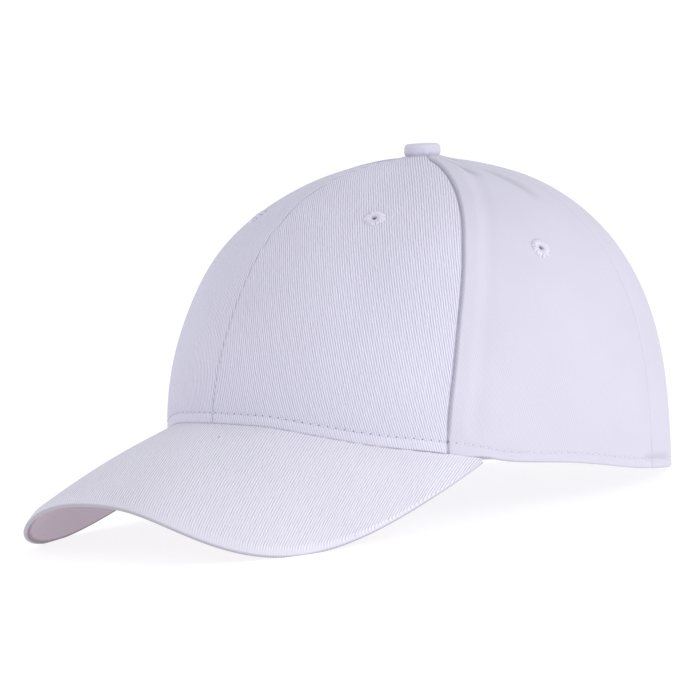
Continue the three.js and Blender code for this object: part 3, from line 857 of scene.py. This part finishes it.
# %% Form of the brim
BRIM_END_AZIMUTH = math.radians(67.7)
BRIM_LENGTH = 121.6
BRIM_THICKNESS = 2.8
BRIM_END_THICKNESS = 1.2
BRIM_TAPER_FROM = 0.88
BRIM_EDGE_SHARE = 0.6
BRIM_GAP = 0.02
BRIM_WAVE = 0.25
OUTLINE = {"side_power": 0.518, "swell": 8.6}
ARCH = {"root": 41.2, "slope": 0.326, "side_slope": 0.042, "half_width": 82, "drop": 47.7, "power": 2.66}
TIP = {"reach": 61.8, "extra_drop": 0.225, "dip": 4.7}


def arch_height(x, y):
    """Height of the brim's lower face, away from its root, at a place in plan."""
    across = np.abs(x) / ARCH["half_width"]
    ahead = -HEM_HALF_LENGTH - y
    tip = ahead / TIP["reach"]
    drop = ARCH["drop"] * across ** ARCH["power"] * (1 + TIP["extra_drop"] * tip)
    slope = ARCH["slope"] + ARCH["side_slope"] * across ** 2
    return ARCH["root"] - slope * ahead - drop - TIP["dip"] * tip ** 2


def brim_edge(turn):
    """The brim's outline in plan, from the right end at -90 degrees to the left end at 90."""
    sine = np.sign(turn) * np.abs(np.sin(turn)) ** (1 / OUTLINE["side_power"])
    cosine = np.sqrt(np.maximum(1 - sine ** 2, 0))
    width = HEM_HALF_WIDTH * math.sin(BRIM_END_AZIMUTH) * np.abs(sine) ** OUTLINE["side_power"]
    x = np.sign(turn) * (width + OUTLINE["swell"] * np.abs(sine) * cosine)
    return np.stack([x, -HEM_HALF_LENGTH * math.cos(BRIM_END_AZIMUTH) - BRIM_LENGTH * cosine], -1)


def brim_root(azimuth):
    on_hem = np.stack([HEM_HALF_WIDTH * np.sin(azimuth), -HEM_HALF_LENGTH * np.cos(azimuth)], -1)
    return on_hem - WALL * unit(on_hem / np.array([HEM_HALF_WIDTH, HEM_HALF_LENGTH]) ** 2)


def brim_thickness(side):
    end_share = np.maximum(0, np.abs(side) - BRIM_TAPER_FROM) / (1 - BRIM_TAPER_FROM)
    return BRIM_THICKNESS + (BRIM_END_THICKNESS - BRIM_THICKNESS) * end_share


def brim_lower(side, out):
    """Lower face: side runs from -1 at the right end to 1 at the left end, out from 0 to 1."""
    root, edge = brim_root(side * BRIM_END_AZIMUTH), brim_edge(side * np.pi / 2)
    plan = root + (edge - root) * out[..., None]
    root_height = hem_height(side * BRIM_END_AZIMUTH) - BRIM_GAP - brim_thickness(side)
    settle = (root_height - arch_height(root[..., 0], root[..., 1])) * (1 - out) ** 2
    return np.concatenate([plan, (arch_height(plan[..., 0], plan[..., 1]) + settle)[..., None]], -1)


def brim_normal(side, out):
    step = 0.004
    near = np.clip(side - step, -1, 1 - 2 * step)
    across = brim_lower(near, out) - brim_lower(near + 2 * step, out)
    inner = np.clip(out, 0, 1 - step)
    return unit(np.cross(across, brim_lower(side, inner + step) - brim_lower(side, inner)))


def brim_points(side, out, level):
    """Points in the brim: level is 0 on its lower face and 1 on its upper face."""
    # The board stops short of the edge, where only the two cloths are left
    thinned = 1 - (1 - BRIM_EDGE_SHARE) * ramp(out, 0.93, 1.0)
    thickness = brim_thickness(side) * thinned * level
    return brim_lower(side, out) + brim_normal(side, out) * thickness[..., None]


def brim_wave(points, out):
    """A hair of wave, in mm upwards, that keeps the sheet from being ruled."""
    waves = np.sin(points @ [0.05, 0.031, 0]) * np.sin(points @ [-0.02, 0.043, 0] + 0.7)
    return BRIM_WAVE * waves * ramp(out, 0.1, 0.4)


brim_reach = -brim_edge(np.array(0.0))[1] - HEM_HALF_LENGTH
print("The brim reaches", round(float(brim_reach), 1), "mm in front of the hem")

# %% Model the brim
BRIM_COLUMNS = 180
SHEET_ROWS = 44
ROWS_NEAR_LIP = 18
NEAR_LIP_FROM = 0.9
LIP_STEPS = 8
LIP_GROOVE = 0.3
LIP_PRESSED = 0.8
DOUBLED_MM = 0.02
CLOTH_MEASURED_AT_Y = -130.0


def press_on_table(piece):
    """Flattens what would lie under the table, as cloth is where it rests."""
    points = mesh_points(piece)
    points[:, 2] = np.maximum(points[:, 2], 0)
    set_points(piece, points)


side = np.linspace(1, -1, BRIM_COLUMNS + 1)
inner_rows = np.linspace(0, NEAR_LIP_FROM, SHEET_ROWS, endpoint=False)
sheet_out = np.concatenate([inner_rows, np.linspace(NEAR_LIP_FROM, 1, ROWS_NEAR_LIP)])
lip_turn = np.linspace(np.pi / 2, -np.pi / 2, LIP_STEPS + 1)[1:-1]
out_path = np.concatenate([sheet_out, np.ones(len(lip_turn)), sheet_out[::-1], [0]])
lower_face = np.zeros(len(sheet_out))
level_path = np.concatenate([lower_face + 1, 0.5 + 0.5 * np.sin(lip_turn), lower_face, [1]])
lip_path = np.concatenate([lower_face, np.cos(lip_turn), lower_face, [0]])

side_grid, out_grid = np.meshgrid(side, out_path, indexing="ij")
level_grid = np.broadcast_to(level_path, side_grid.shape)
# The sheets stop half a thickness short of the outline, and the lip rounds out to it
edge_gap = np.linalg.norm(brim_edge(side * np.pi / 2) - brim_root(side * BRIM_END_AZIMUTH), axis=1)
edge_thickness = brim_thickness(side) * BRIM_EDGE_SHARE
lip_reach = np.minimum(edge_thickness / 2 / np.maximum(edge_gap, 1), 0.5)[:, None]
out_grid = out_grid * (1 - lip_reach) + lip_reach * np.broadcast_to(lip_path, side_grid.shape)
points = brim_points(side_grid, out_grid, level_grid)
# The seam of the two cloths runs just under the lip
seam_groove = bell(out_grid - 1 + 1.6 * lip_reach, 0.5 * lip_reach + 1e-6) * (level_grid < 0.5)
points[..., 2] += brim_wave(points, out_grid) + LIP_GROOVE * seam_groove
# The cloth lies square to the cap's middle line, so its measure runs sideways and forwards, and not
# round the brim's outline
fine_x = np.linspace(-90, 90, 361)
slope_x = np.gradient(arch_height(fine_x, CLOTH_MEASURED_AT_Y), fine_x)
arc = np.concatenate([[0], np.cumsum(np.hypot(1, (slope_x[1:] + slope_x[:-1]) / 2) * np.diff(fine_x))])
arc -= np.interp(0, fine_x, arc)
sideways = np.interp(points[..., 0], fine_x, arc)
flat_cloth = np.stack([sideways, points[..., 1] * math.hypot(1, ARCH["slope"])], -1)
# The upper cloth runs on round the lip, so its measure runs on too
cloth = flat_cloth.copy()
last_flat = len(sheet_out) - 3
lip_end = len(sheet_out) + len(lip_turn) + 1
outwards = unit(flat_cloth[:, last_flat] - flat_cloth[:, last_flat - 3])
for row in range(last_flat + 1, lip_end + 1):
    step = np.linalg.norm(points[:, row] - points[:, row - 1], axis=1)
    cloth[:, row] = cloth[:, row - 1] + outwards * step[:, None]
row_number = np.broadcast_to(np.arange(points.shape[1]), side_grid.shape)
# The underside mark carries painted shade with a pinkish cast onto the brim's lower face
underside = (row_number >= lip_end - 1).astype(float)
# Painted shade in a thin line along the seam under the lip, where the two cloths meet
lip_painted_shade = ramp(row_number, lip_end - 8.5, lip_end - 6) * (1 - ramp(row_number, lip_end + 1, lip_end + 4))
# The upper cloth is pressed flat along the lip
lip_pressed = LIP_PRESSED * ramp(out_grid, 0.935, 0.985) * (1 - underside)
marks = {"underside": underside, "painted_shade": lip_painted_shade, "pressed": lip_pressed}
brim = laid_grid("cloth_brim", points, cloth, marks, flat_cloth, lip_end)
edit(brim, bpy.ops.mesh.remove_doubles, threshold=DOUBLED_MM * MM)
lowest = mesh_points(brim)[:, 2].min()
print("Before it is pressed on the table the brim reaches to", round(lowest / MM, 2), "mm")
press_on_table(brim)
smooth(brim, 60)
finish_piece(brim, brim_twill, "brim_twill", "brim")

# %% [markdown]
# ## Sweatband
# Inside the hem runs a band of the same cloth, about 30 mm high. It is sewn in with the hem's row of
# stitches and folded up, so its foot is a round fold. It follows the crown's form a little way in.
# The band, the binding and the strap's tabs are all made as one kind of strip: a grid laid where its
# outer face is, thickened inwards, its edges rounded, and pressed flat where it meets the table.

# %% Model the sweatband
SWEATBAND_HEIGHT = 30
SWEATBAND_THICKNESS = 1.2
SWEATBAND_COLUMNS = 240
SWEATBAND_ROWS = 14
SWEATBAND_FURROW = 0.25
SWEATBAND_DEPTH = WALL + 0.5
SWEATBAND_END_AZIMUTH = math.radians(145.5)
SWEATBAND_FOOT = {"azimuth": [0, 63, 74, 180], "above": [-3.1, -3.1, 0.6, 0.6]}
SHARP_EDGE_DEGREES = 50


def crown_height(azimuth, share):
    return crown(azimuth, share)[0][..., 2]


def inside_point(azimuth, height, depth):
    """A point at a depth inside the crown's form at a height; below the hem it hangs straight down."""
    azimuth, height = np.broadcast_arrays(azimuth, height)
    held = np.maximum(height, hem_height(azimuth) + 0.01)
    share = share_at(azimuth, held, crown_height)
    point = crown(azimuth, share)[0] - crown_normal(azimuth, share) * np.asarray(depth)[..., None]
    point[..., 2] += np.minimum(height - held, 0)
    return point


def arc_cloth(points):
    """Cloth UV of a strip from its own lengths, along its columns and up its rows."""
    along, up = run_length(points[:, 0]), run_length(points[0])
    return np.stack(np.meshgrid(along, up, indexing="ij"), -1)


def round_edges(piece, width, segments=3):
    apply_modifier(piece, "BEVEL", width=width, segments=segments, limit_method="ANGLE",
                   angle_limit=math.radians(SHARP_EDGE_DEGREES))


def strip(node_name, points, thickness, edge_radius, slot):
    """A strip of cloth in the place of a CAD node, from its outer face; measures in mm."""
    piece = laid_grid("cloth_" + node_name, points, arc_cloth(points))
    apply_modifier(piece, "SOLIDIFY", thickness=thickness * MM, offset=-1)
    round_edges(piece, edge_radius * MM)
    press_on_table(piece)
    smooth(piece)
    finish_piece(piece, lining_twill, slot, node_name)


band_azimuth = np.linspace(-1, 1, SWEATBAND_COLUMNS + 1)[:, None] * SWEATBAND_END_AZIMUTH
band_foot = along_table(SWEATBAND_FOOT, "azimuth", "above", folded_degrees(band_azimuth))
band_rows = crowded(SWEATBAND_ROWS, 0.6)[None]
band_height = hem_height(band_azimuth) + band_foot + (SWEATBAND_HEIGHT - band_foot) * band_rows
over_stitches = band_height - hem_height(band_azimuth) - HEM_STITCH_HEIGHT
band_seam = SWEATBAND_FURROW * bell(over_stitches, 1.0)
points = inside_point(band_azimuth, band_height, SWEATBAND_DEPTH - band_seam)
strip("sweatband", points, SWEATBAND_THICKNESS, 0.5, "sweatband_twill")

# %% [markdown]
# ## Binding round the opening
# The cut edge of the ponytail opening is closed with a folded tape, 7 mm wide, that shows the same
# outside and inside. Its section is a flat oval: a grid with a Solidify and a Bevel gives that.

# %% Model the binding
BINDING_STANDS_PROUD = 0.6
BINDING_THICKNESS = 2.9
BINDING_CROWNED = 0.35
BINDING_COLUMNS = 96
BINDING_ROWS = 6


def behind(x, z):
    """How far back the crown's outside is at a width and a height, in mm."""
    x, z = np.broadcast_arrays(x, z)
    low, high = np.zeros(x.shape), np.full(x.shape, np.pi / 2)
    for _ in range(HALVINGS):
        middle = (low + high) / 2
        azimuth = np.pi - middle
        reach = crown(azimuth, share_at(azimuth, z, crown_height))[0][..., 0]
        short = reach < np.abs(x)
        low, high = np.where(short, middle, low), np.where(short, high, middle)
    azimuth = np.pi - low
    return crown(azimuth, share_at(azimuth, z, crown_height))[0][..., 1]


along = np.linspace(0, 1, BINDING_COLUMNS + 1)[:, None]
tape_row = np.linspace(0, 1, BINDING_ROWS + 1)[None]
inner_x, inner_z = opening_outline(along, 0)
outer_x, outer_z = opening_outline(along, BINDING_WIDTH)
tape_x, tape_z = inner_x + (outer_x - inner_x) * tape_row, inner_z + (outer_z - inner_z) * tape_row
proud = BINDING_STANDS_PROUD - BINDING_CROWNED * (1 - np.sin(np.pi * tape_row))
tape = np.stack([tape_x, behind(tape_x, tape_z) + proud, tape_z], -1)
strip("opening_binding", tape, BINDING_THICKNESS - BINDING_CROWNED, 0.9, "binding_tape")

# %% [markdown]
# ## Closing strap
# Two tabs close the foot of the opening, the left one over the right. The fastening between them
# doesn't show, so the tabs are plain cloth: bevelled edges and a row of stitches round each.

# %% Model the strap
STRAP_WIDTH = 22
STRAP_THICKNESS = 1.6
STRAP_ROOT_REACH = 45.5
STRAP_DEPTH = WALL + 0.7
LEFT_TAB_REACH = 22
RIGHT_TAB_REACH = 12
UNDER_LEFT_TAB = STRAP_DEPTH + STRAP_THICKNESS + 0.3
RIGHT_TAB_DEPTH = {
    "reach": [-STRAP_ROOT_REACH, -LEFT_TAB_REACH - 11, -LEFT_TAB_REACH - 1.5, RIGHT_TAB_REACH],
    "depth": [STRAP_DEPTH, STRAP_DEPTH, UNDER_LEFT_TAB, UNDER_LEFT_TAB],
}


def left_tab_depth(reach):
    return np.full_like(reach, STRAP_DEPTH)


def right_tab_depth(reach):
    return along_table(RIGHT_TAB_DEPTH, "reach", "depth", reach)


def strap_point(reach, up, tab_depth, extra=0.0):
    """A point on a tab's outside at a reach to the side and a height over the hem."""
    azimuth = np.pi - np.arcsin(reach / HEM_HALF_WIDTH)
    height = hem_height(azimuth) + up
    point = inside_point(azimuth, height, tab_depth(reach) + extra)
    point[..., 2] = height
    return point


# Each tab: how far to the wearer's left its sewn end and its free end lie, and how deep it lies
tabs = {
    "strap_left": (STRAP_ROOT_REACH, -LEFT_TAB_REACH, left_tab_depth),
    "strap_right": (-STRAP_ROOT_REACH, RIGHT_TAB_REACH, right_tab_depth),
}
TAB_CORNER = 5.0
TAB_COLUMNS = 60
TAB_ROWS = 18
for node_name, (sewn_end, free_end, tab_depth) in tabs.items():
    reach = np.linspace(max(sewn_end, free_end), min(sewn_end, free_end), TAB_COLUMNS + 1)[:, None]
    from_end = np.clip(TAB_CORNER - np.abs(reach - free_end), 0, TAB_CORNER)
    tuck = TAB_CORNER - np.sqrt(TAB_CORNER ** 2 - from_end ** 2)
    up = tuck + (STRAP_WIDTH - 2 * tuck) * np.linspace(0, 1, TAB_ROWS + 1)[None]
    strip(node_name, strap_point(reach, up, tab_depth), STRAP_THICKNESS, 0.55, "strap_twill")

# %% [markdown]
# ## Top button
# The button is a metal blank covered with a disc of the cap's cloth, pulled tight and gathered
# underneath. A cylinder primitive gives the blank: its upper edge is bevelled round, its top is
# domed, and small folds run down its side where the cloth is gathered.

# %% Model the button
BUTTON_RADIUS = 6.7
BUTTON_SIDE = 5.9
BUTTON_FOOT = -0.9
BUTTON_GATHERS = 11
BUTTON_EDGE = 1.3
BUTTON_DOME = 0.3
BUTTON_BULGE = 0.12
BUTTON_WAIST = 0.5
GATHER_DEPTH = 0.1

button = added(
    bpy.ops.mesh.primitive_cylinder_add, vertices=96, radius=BUTTON_RADIUS, depth=BUTTON_SIDE,
    location=(0, 0, BUTTON_FOOT + BUTTON_SIDE / 2))
button.name = button.data.name = "cloth_top_button"
round_edges(button, BUTTON_EDGE, segments=6)
edit(button, bpy.ops.mesh.poke)
edit(button, bpy.ops.mesh.subdivide, number_cuts=2)
place = mesh_points(button)
radius = np.hypot(place[:, 0], place[:, 1])
round_angle = np.arctan2(place[:, 1], place[:, 0])
dome = BUTTON_DOME * (1 - np.clip(radius / BUTTON_RADIUS, 0, 1) ** 2) * (place[:, 2] > 2)
gather = GATHER_DEPTH * np.cos(BUTTON_GATHERS * round_angle + 0.8 * np.sin(3 * round_angle))
low_share = 1 - ramp(place[:, 2], 0.5, 4.2)
bulge = BUTTON_BULGE * bell(place[:, 2] - 2.4, 1.8)
waist = BUTTON_WAIST * bell(place[:, 2] - 0.5, 0.7)
draw_in = 1 + (gather * low_share + bulge - waist) / BUTTON_RADIUS
# Painted shade round the button's foot, where the gathered cloth tucks under
foot_painted_shade = bell(place[:, 2] - 0.45, 0.45)
place[:, :2] *= draw_in[:, None]
place[:, 2] += dome
spread_out = (radius + np.clip(4.5 - place[:, 2], 0, 5)) / np.maximum(radius, 0.01)
set_cloth(button, (place[:, :2] * spread_out[:, None])[face_corners(button)])
mark_vertices(button, "painted_shade", foot_painted_shade)
set_points(button, to_rest(place + CROWN_TOP))
smooth(button, 50)
finish_piece(button, button_twill, "button_twill", "top_button")

# %% [markdown]
# ## One thread, many stitches
# Every stitch is the same little length of thread whose two ends dive into the cloth. It is modelled
# once, from a stretched sphere, and its copies are laid along a line as one joined mesh, because
# hundreds of separate objects would be slow. A needle hole is a low dark cone between stitches: painted
# shade in the hole.

# %% Make a stitch and lay copies of it
STITCH_PITCH = 3.2
STITCH_LENGTH = 2.7
THREAD_WIDTH = 0.42
NEEDLE_HOLE_DEPTH = 0.14


def stitch_master():
    """A stitch along X in mm, flattened, its ends below the cloth."""
    master = added(bpy.ops.mesh.primitive_uv_sphere_add, segments=8, ring_count=9, radius=1,
                   rotation=(0, math.pi / 2, 0))
    x, y, z = mesh_points(master).T
    along = np.sign(x) * np.abs(x) ** 0.8
    height = 0.42 * z + 0.15 - 0.5 * np.abs(along) ** 3
    shape = [along * STITCH_LENGTH / 2, y * THREAD_WIDTH / 2, height * THREAD_WIDTH]
    set_points(master, np.stack(shape, -1))
    return master


def joined_copies(name, master, matrices, painted_shade=None):
    """One mesh of a small master at many places; matrices go from the master's mm to the scene."""
    shape = np.concatenate([mesh_points(master) * MM, np.ones((len(master.data.vertices), 1))], 1)
    placed = np.concatenate([shape @ np.array(matrix).T[:, :3] for matrix in matrices])
    faces = [list(face.vertices) for face in master.data.polygons]
    count = len(shape)
    every = [[v + k * count for v in face] for k in range(len(matrices)) for face in faces]
    data = bpy.data.meshes.new(name)
    data.from_pydata(placed.tolist(), [], every)
    piece = bpy.data.objects.new(name, data)
    bpy.context.scene.collection.objects.link(piece)
    bpy.data.objects.remove(master)
    if painted_shade is not None:
        mark_vertices(piece, "painted_shade", np.tile(painted_shade, len(matrices)))
    smooth(piece, 60)
    return piece


def along_line(points, normals, offset=0.0):
    """Places a stitch apart along a line of upright points: matrices with X along the line."""
    length = run_length(points)
    free = length[-1] - 2 * offset
    count = int(free // STITCH_PITCH) + 1
    spots = offset + (free - (count - 1) * STITCH_PITCH) / 2 + STITCH_PITCH * np.arange(count)
    ahead = places_along(spots + 0.4, length, points) - places_along(spots - 0.4, length, points)
    out = unit(places_along(spots, length, normals))
    return [facing_matrix(*place) for place in zip(places_along(spots, length, points), out, ahead)]


def needle_hole_master(radius):
    return added(bpy.ops.mesh.primitive_cone_add, vertices=8, radius1=radius, radius2=0.0,
                 depth=NEEDLE_HOLE_DEPTH)


print("Stitches are", STITCH_LENGTH, "mm long and lie", STITCH_PITCH, "mm apart")

# %% [markdown]
# ## Rows of stitches
# One row runs round the hem, 3.6 mm up, and holds the sweatband; it shows in the photograph as a
# line of small dark holes. The same row shows inside. Two rows hold the binding and one row edges
# each tab.

# %% Sew the hem's row
STITCH_SINK = 0.16
HOLE_SINK = 0.17
HOLE_RADIUS = {"front": 0.34, "left": 0.17, "right": 0.17}
BRIM_HOLE = {"side": 0.14, "out": 0.184, "scale": 1.8}


def hem_line(azimuths, up):
    """Upright points and normals on the crown's outside, a distance up along the cloth from the hem."""
    first_step = 0.03
    share = np.full_like(azimuths, first_step)
    hem = crown(azimuths, np.zeros_like(azimuths))[0]
    for _ in range(4):
        share = share * up / np.linalg.norm(crown(azimuths, share)[0] - hem, axis=-1)
    return crown(azimuths, share)[0], crown_normal(azimuths, share)


def sew(name, lines):
    matrices = [matrix for points, normals in lines for matrix in along_line(points, normals)]
    row = joined_copies(name, stitch_master(), matrices)
    finish_piece(row, white_thread, "eyelet_thread")


opening_azimuth = math.pi - math.asin((OPENING_HALF_WIDTH + BINDING_WIDTH) / HEM_HALF_WIDTH)
hem_azimuths = np.linspace(-opening_azimuth, opening_azimuth, 400)
points, normals = hem_line(hem_azimuths, HEM_STITCH_HEIGHT)
band_inside = SWEATBAND_DEPTH + SWEATBAND_THICKNESS - 0.2
sew("thread_hem_row", [(points - STITCH_SINK * normals, normals)])
sew("thread_sweatband_row", [(points - band_inside * normals, -normals)])

# The holes' dark cones, painted shade, lie halfway between the stitches: large in the stiff front, small
# in the soft sides
front_end = hem_line(np.radians([FRONT_SEAM["azimuth"][0] + 2]), HEM_STITCH_HEIGHT)[0]
front_end_y = to_rest(front_end)[0, 1]
hole_rows = {"front": [], "left": [], "right": []}
for place in along_line(points - HOLE_SINK * normals, normals, STITCH_PITCH / 2):
    at = place.translation
    hole_rows["front" if at.y < front_end_y else "left" if at.x > 0 else "right"].append(place)
# A single needle hole, a dark cone of painted shade, shows on the brim in front of the middle seam
one_side, one_out = np.array(BRIM_HOLE["side"]), np.array(BRIM_HOLE["out"])
brim_hole, hole_normal = brim_points(one_side, one_out, np.array(1.0)), brim_normal(one_side, one_out)
brim_hole[2] += brim_wave(brim_hole, one_out) + 0.05
brim_place = facing_matrix(brim_hole, hole_normal, [1, 0, 0])
hole_rows["front"].append(brim_place @ Matrix.Scale(BRIM_HOLE["scale"], 4))
for word, places in hole_rows.items():
    holes = joined_copies(f"needle_holes_{word}_row", needle_hole_master(HOLE_RADIUS[word]), places)
    finish_piece(holes, hole_shadow, "crown_twill")

# %% Sew the binding and the strap
BINDING_STITCH_MARGINS = (1.5, 5.4)
TAB_STITCH_INSET = 2.2
CLEARANCE = 0.02


def binding_line(margin, proud, outward):
    x, z = opening_outline(np.linspace(0.03, 0.97, 160), margin)
    points = np.stack([x, behind(x, z) + proud, z], -1)
    return points, np.broadcast_to([0.0, outward, 0.0], points.shape)


outer_face = BINDING_STANDS_PROUD + CLEARANCE
inner_face = BINDING_STANDS_PROUD - BINDING_THICKNESS - CLEARANCE
sew("thread_binding_rows", [
    binding_line(margin, proud, outward)
    for proud, outward in ((outer_face, 1.0), (inner_face, -1.0)) for margin in BINDING_STITCH_MARGINS])


def tab_rows(sewn_end, free_end, tab_depth):
    """Rows of stitches along the foot and the top of a tab and down its free end, on both faces."""
    inset = TAB_STITCH_INSET
    reach = np.linspace(max(sewn_end, free_end) - inset, min(sewn_end, free_end) + inset, 60)
    free_row = np.full(30, free_end + math.copysign(inset, sewn_end - free_end))
    up_free_row = np.linspace(inset + 2, STRAP_WIDTH - inset - 2, 30)
    rows = []
    for reach_line, up_line in ((reach, np.full(60, inset)), (reach, np.full(60, STRAP_WIDTH - inset)),
                                (free_row, up_free_row)):
        outside = strap_point(reach_line, up_line, tab_depth, extra=-0.03)
        inside = strap_point(reach_line, up_line, tab_depth, extra=STRAP_THICKNESS + 0.03)
        normals = unit(outside - inside)
        rows += [(outside, normals), (inside, -normals)]
    return rows


sew("thread_strap_rows", [row for tab in tabs.values() for row in tab_rows(*tab)])

# %% [markdown]
# ## Embroidered eyelets
# An eyelet is a punched hole that a machine covers with satin stitch: here thirty threads, each
# running from the outer edge over a soft rim into the hole. One thread is bent to that arch from a
# cylinder and turned round the hole, and a low ring under the threads closes the gaps between them;
# the ring's darker colour is painted shade in those gaps. The threads darken towards the hole, painted
# shade, and a small dark cone in the middle, painted shade too, lies where the threads dive into the
# punched hole.

# %% Embroider the eyelets
EYELET_THREADS = 30
EYELET_THREAD_WIDTH = 0.66
EYELET_THREAD_CUTS = 7
EYELET_RIM_HEIGHT = 0.95
EYELET_DIVE = 0.55
DARK_HOLE_RADIUS = 0.6
DARK_HOLE_DEPTH = 0.3


def eyelet_thread_master():
    """One thread from the hole, low X, over the rim to the outer edge, high X, in mm."""
    master = added(bpy.ops.mesh.primitive_cylinder_add, vertices=6, radius=EYELET_THREAD_WIDTH / 2,
                   depth=1, end_fill_type="NGON", rotation=(0, math.pi / 2, 0))
    for cut in range(1, EYELET_THREAD_CUTS + 1):
        x = cut / (EYELET_THREAD_CUTS + 1) - 0.5
        edit(master, bpy.ops.mesh.bisect, plane_co=(x, 0, 0), plane_no=(1, 0, 0))
    shape = mesh_points(master)
    outward = shape[:, 0] + 0.5
    inner, outer = EYELET_HOLE_RADIUS + 0.15, EYELET_RADIUS - 0.1
    radius = inner + (outer - inner) * outward
    narrow = 0.45 + 0.75 * radius / outer
    arch = EYELET_RIM_HEIGHT * np.sin(np.pi * np.clip(outward * 0.94 + 0.06, 0, 1)) ** 0.7
    arch = arch - EYELET_DIVE * (1 - outward) ** 4
    set_points(master, np.stack([radius, shape[:, 1] * narrow, shape[:, 2] * 0.8 + arch - 0.15], -1))
    return master


def eyelet_ring_master():
    """The padding under the threads: a flattened torus."""
    ring = added(
        bpy.ops.mesh.primitive_torus_add, major_segments=40, minor_segments=12,
        major_radius=(EYELET_RADIUS + EYELET_HOLE_RADIUS) / 2,
        minor_radius=(EYELET_RADIUS - EYELET_HOLE_RADIUS) / 2 - 0.1)
    set_points(ring, mesh_points(ring) * [1, 1, 0.36] - [0, 0, 0.2])
    return ring


uneven_hand = np.random.default_rng(7)
for place_name, base in eyelet_bases.items():
    turns = []
    for k in range(EYELET_THREADS):
        angle = 2 * math.pi * (k + 0.2 * uneven_hand.uniform(-1, 1)) / EYELET_THREADS
        longer = Matrix.Scale(uneven_hand.uniform(0.94, 1.04), 4)
        turns.append(base @ Matrix.Rotation(angle, 4, "Z") @ longer)
    node_name = "eyelet_" + place_name
    ring = joined_copies("padding_" + node_name, eyelet_ring_master(), [base])
    finish_piece(ring, eyelet_padding, "eyelet_thread", node_name)
    thread = eyelet_thread_master()
    # The threads darken as they near the hole: painted shade
    from_hole = np.hypot(*mesh_points(thread)[:, :2].T) - EYELET_HOLE_RADIUS
    threads = joined_copies("thread_" + node_name, thread, turns, 1 - ramp(from_hole, 0.25, 0.7))
    finish_piece(threads, eyelet_thread, "eyelet_thread", node_name)
sunk = Matrix.Translation((0, 0, -DARK_HOLE_DEPTH * MM))
dark_holes = [base @ sunk for base in eyelet_bases.values()]
holes = joined_copies("eyelet_holes", needle_hole_master(DARK_HOLE_RADIUS), dark_holes)
finish_piece(holes, hole_shadow, "eyelet_thread")

# %% [markdown]
# ## Table and light
# The photograph is a bright studio picture with no hard shadow: white all round, a soft main light
# low on the right of the picture, a weaker one on its left and a faint one from in front. The floor
# is a pale table that glows a little, as a light table does, so it stays white round the cap.

# %% Floor
floor = added(bpy.ops.mesh.primitive_plane_add, size=24, location=(0, 0, 0))
floor.name = "pale_floor"
floor_material = new_material("pale_floor")
floor_shader = add_node(floor_material.node_tree, "ShaderNodeBsdfPrincipled", {
    "Base Color": linear("#9C9C9E"), "Roughness": 0.9, "Specular IOR Level": 0.0,
    "Emission Color": linear("#FFFFFF"), "Emission Strength": 0.78})
add_node(floor_material.node_tree, "ShaderNodeOutputMaterial", {"Surface": floor_shader.outputs["BSDF"]})
floor.data.materials.append(floor_material)
print("The floor is", floor.dimensions.x, "m wide")

# %% Lights and surroundings
LIT_HEIGHT = 0.06


def soft_light(name, azimuth_degrees, elevation_degrees, distance, size, watts):
    """A square area light round the cap, at a direction as the camera's is given."""
    data = bpy.data.lights.new(name, "AREA")
    data.size, data.energy = size, watts
    light = bpy.data.objects.new(name, data)
    bpy.context.scene.collection.objects.link(light)
    direction = Vector(towards(math.radians(azimuth_degrees), math.radians(elevation_degrees)))
    light.location = direction * distance + Vector((0, 0, LIT_HEIGHT))
    light.rotation_euler = direction.to_track_quat("Z", "Y").to_euler()


soft_light("main_light", 105, 18, 1.6, 1.2, 10.5)
soft_light("left_light", -60, 25, 1.8, 1.2, 3.4)
soft_light("front_light", 25, 12, 2.0, 1.4, 2.5)
world = bpy.data.worlds.new("white_studio")
world.use_nodes = True
world.node_tree.nodes.clear()
direction = add_node(world.node_tree, "ShaderNodeTexCoord").outputs["Generated"]
height = add_node(world.node_tree, "ShaderNodeSeparateXYZ", {"Vector": direction}).outputs["Z"]
strength = ranged(world.node_tree, height, 0.0, 1.0, 0.93, 0.68)
surround = add_node(world.node_tree, "ShaderNodeBackground", {
    "Color": linear("#FBFBFF"), "Strength": strength})
add_node(world.node_tree, "ShaderNodeOutputWorld", {"Surface": surround.outputs["Background"]})
bpy.context.scene.world = world
bpy.context.scene.view_settings.view_transform = "Standard"
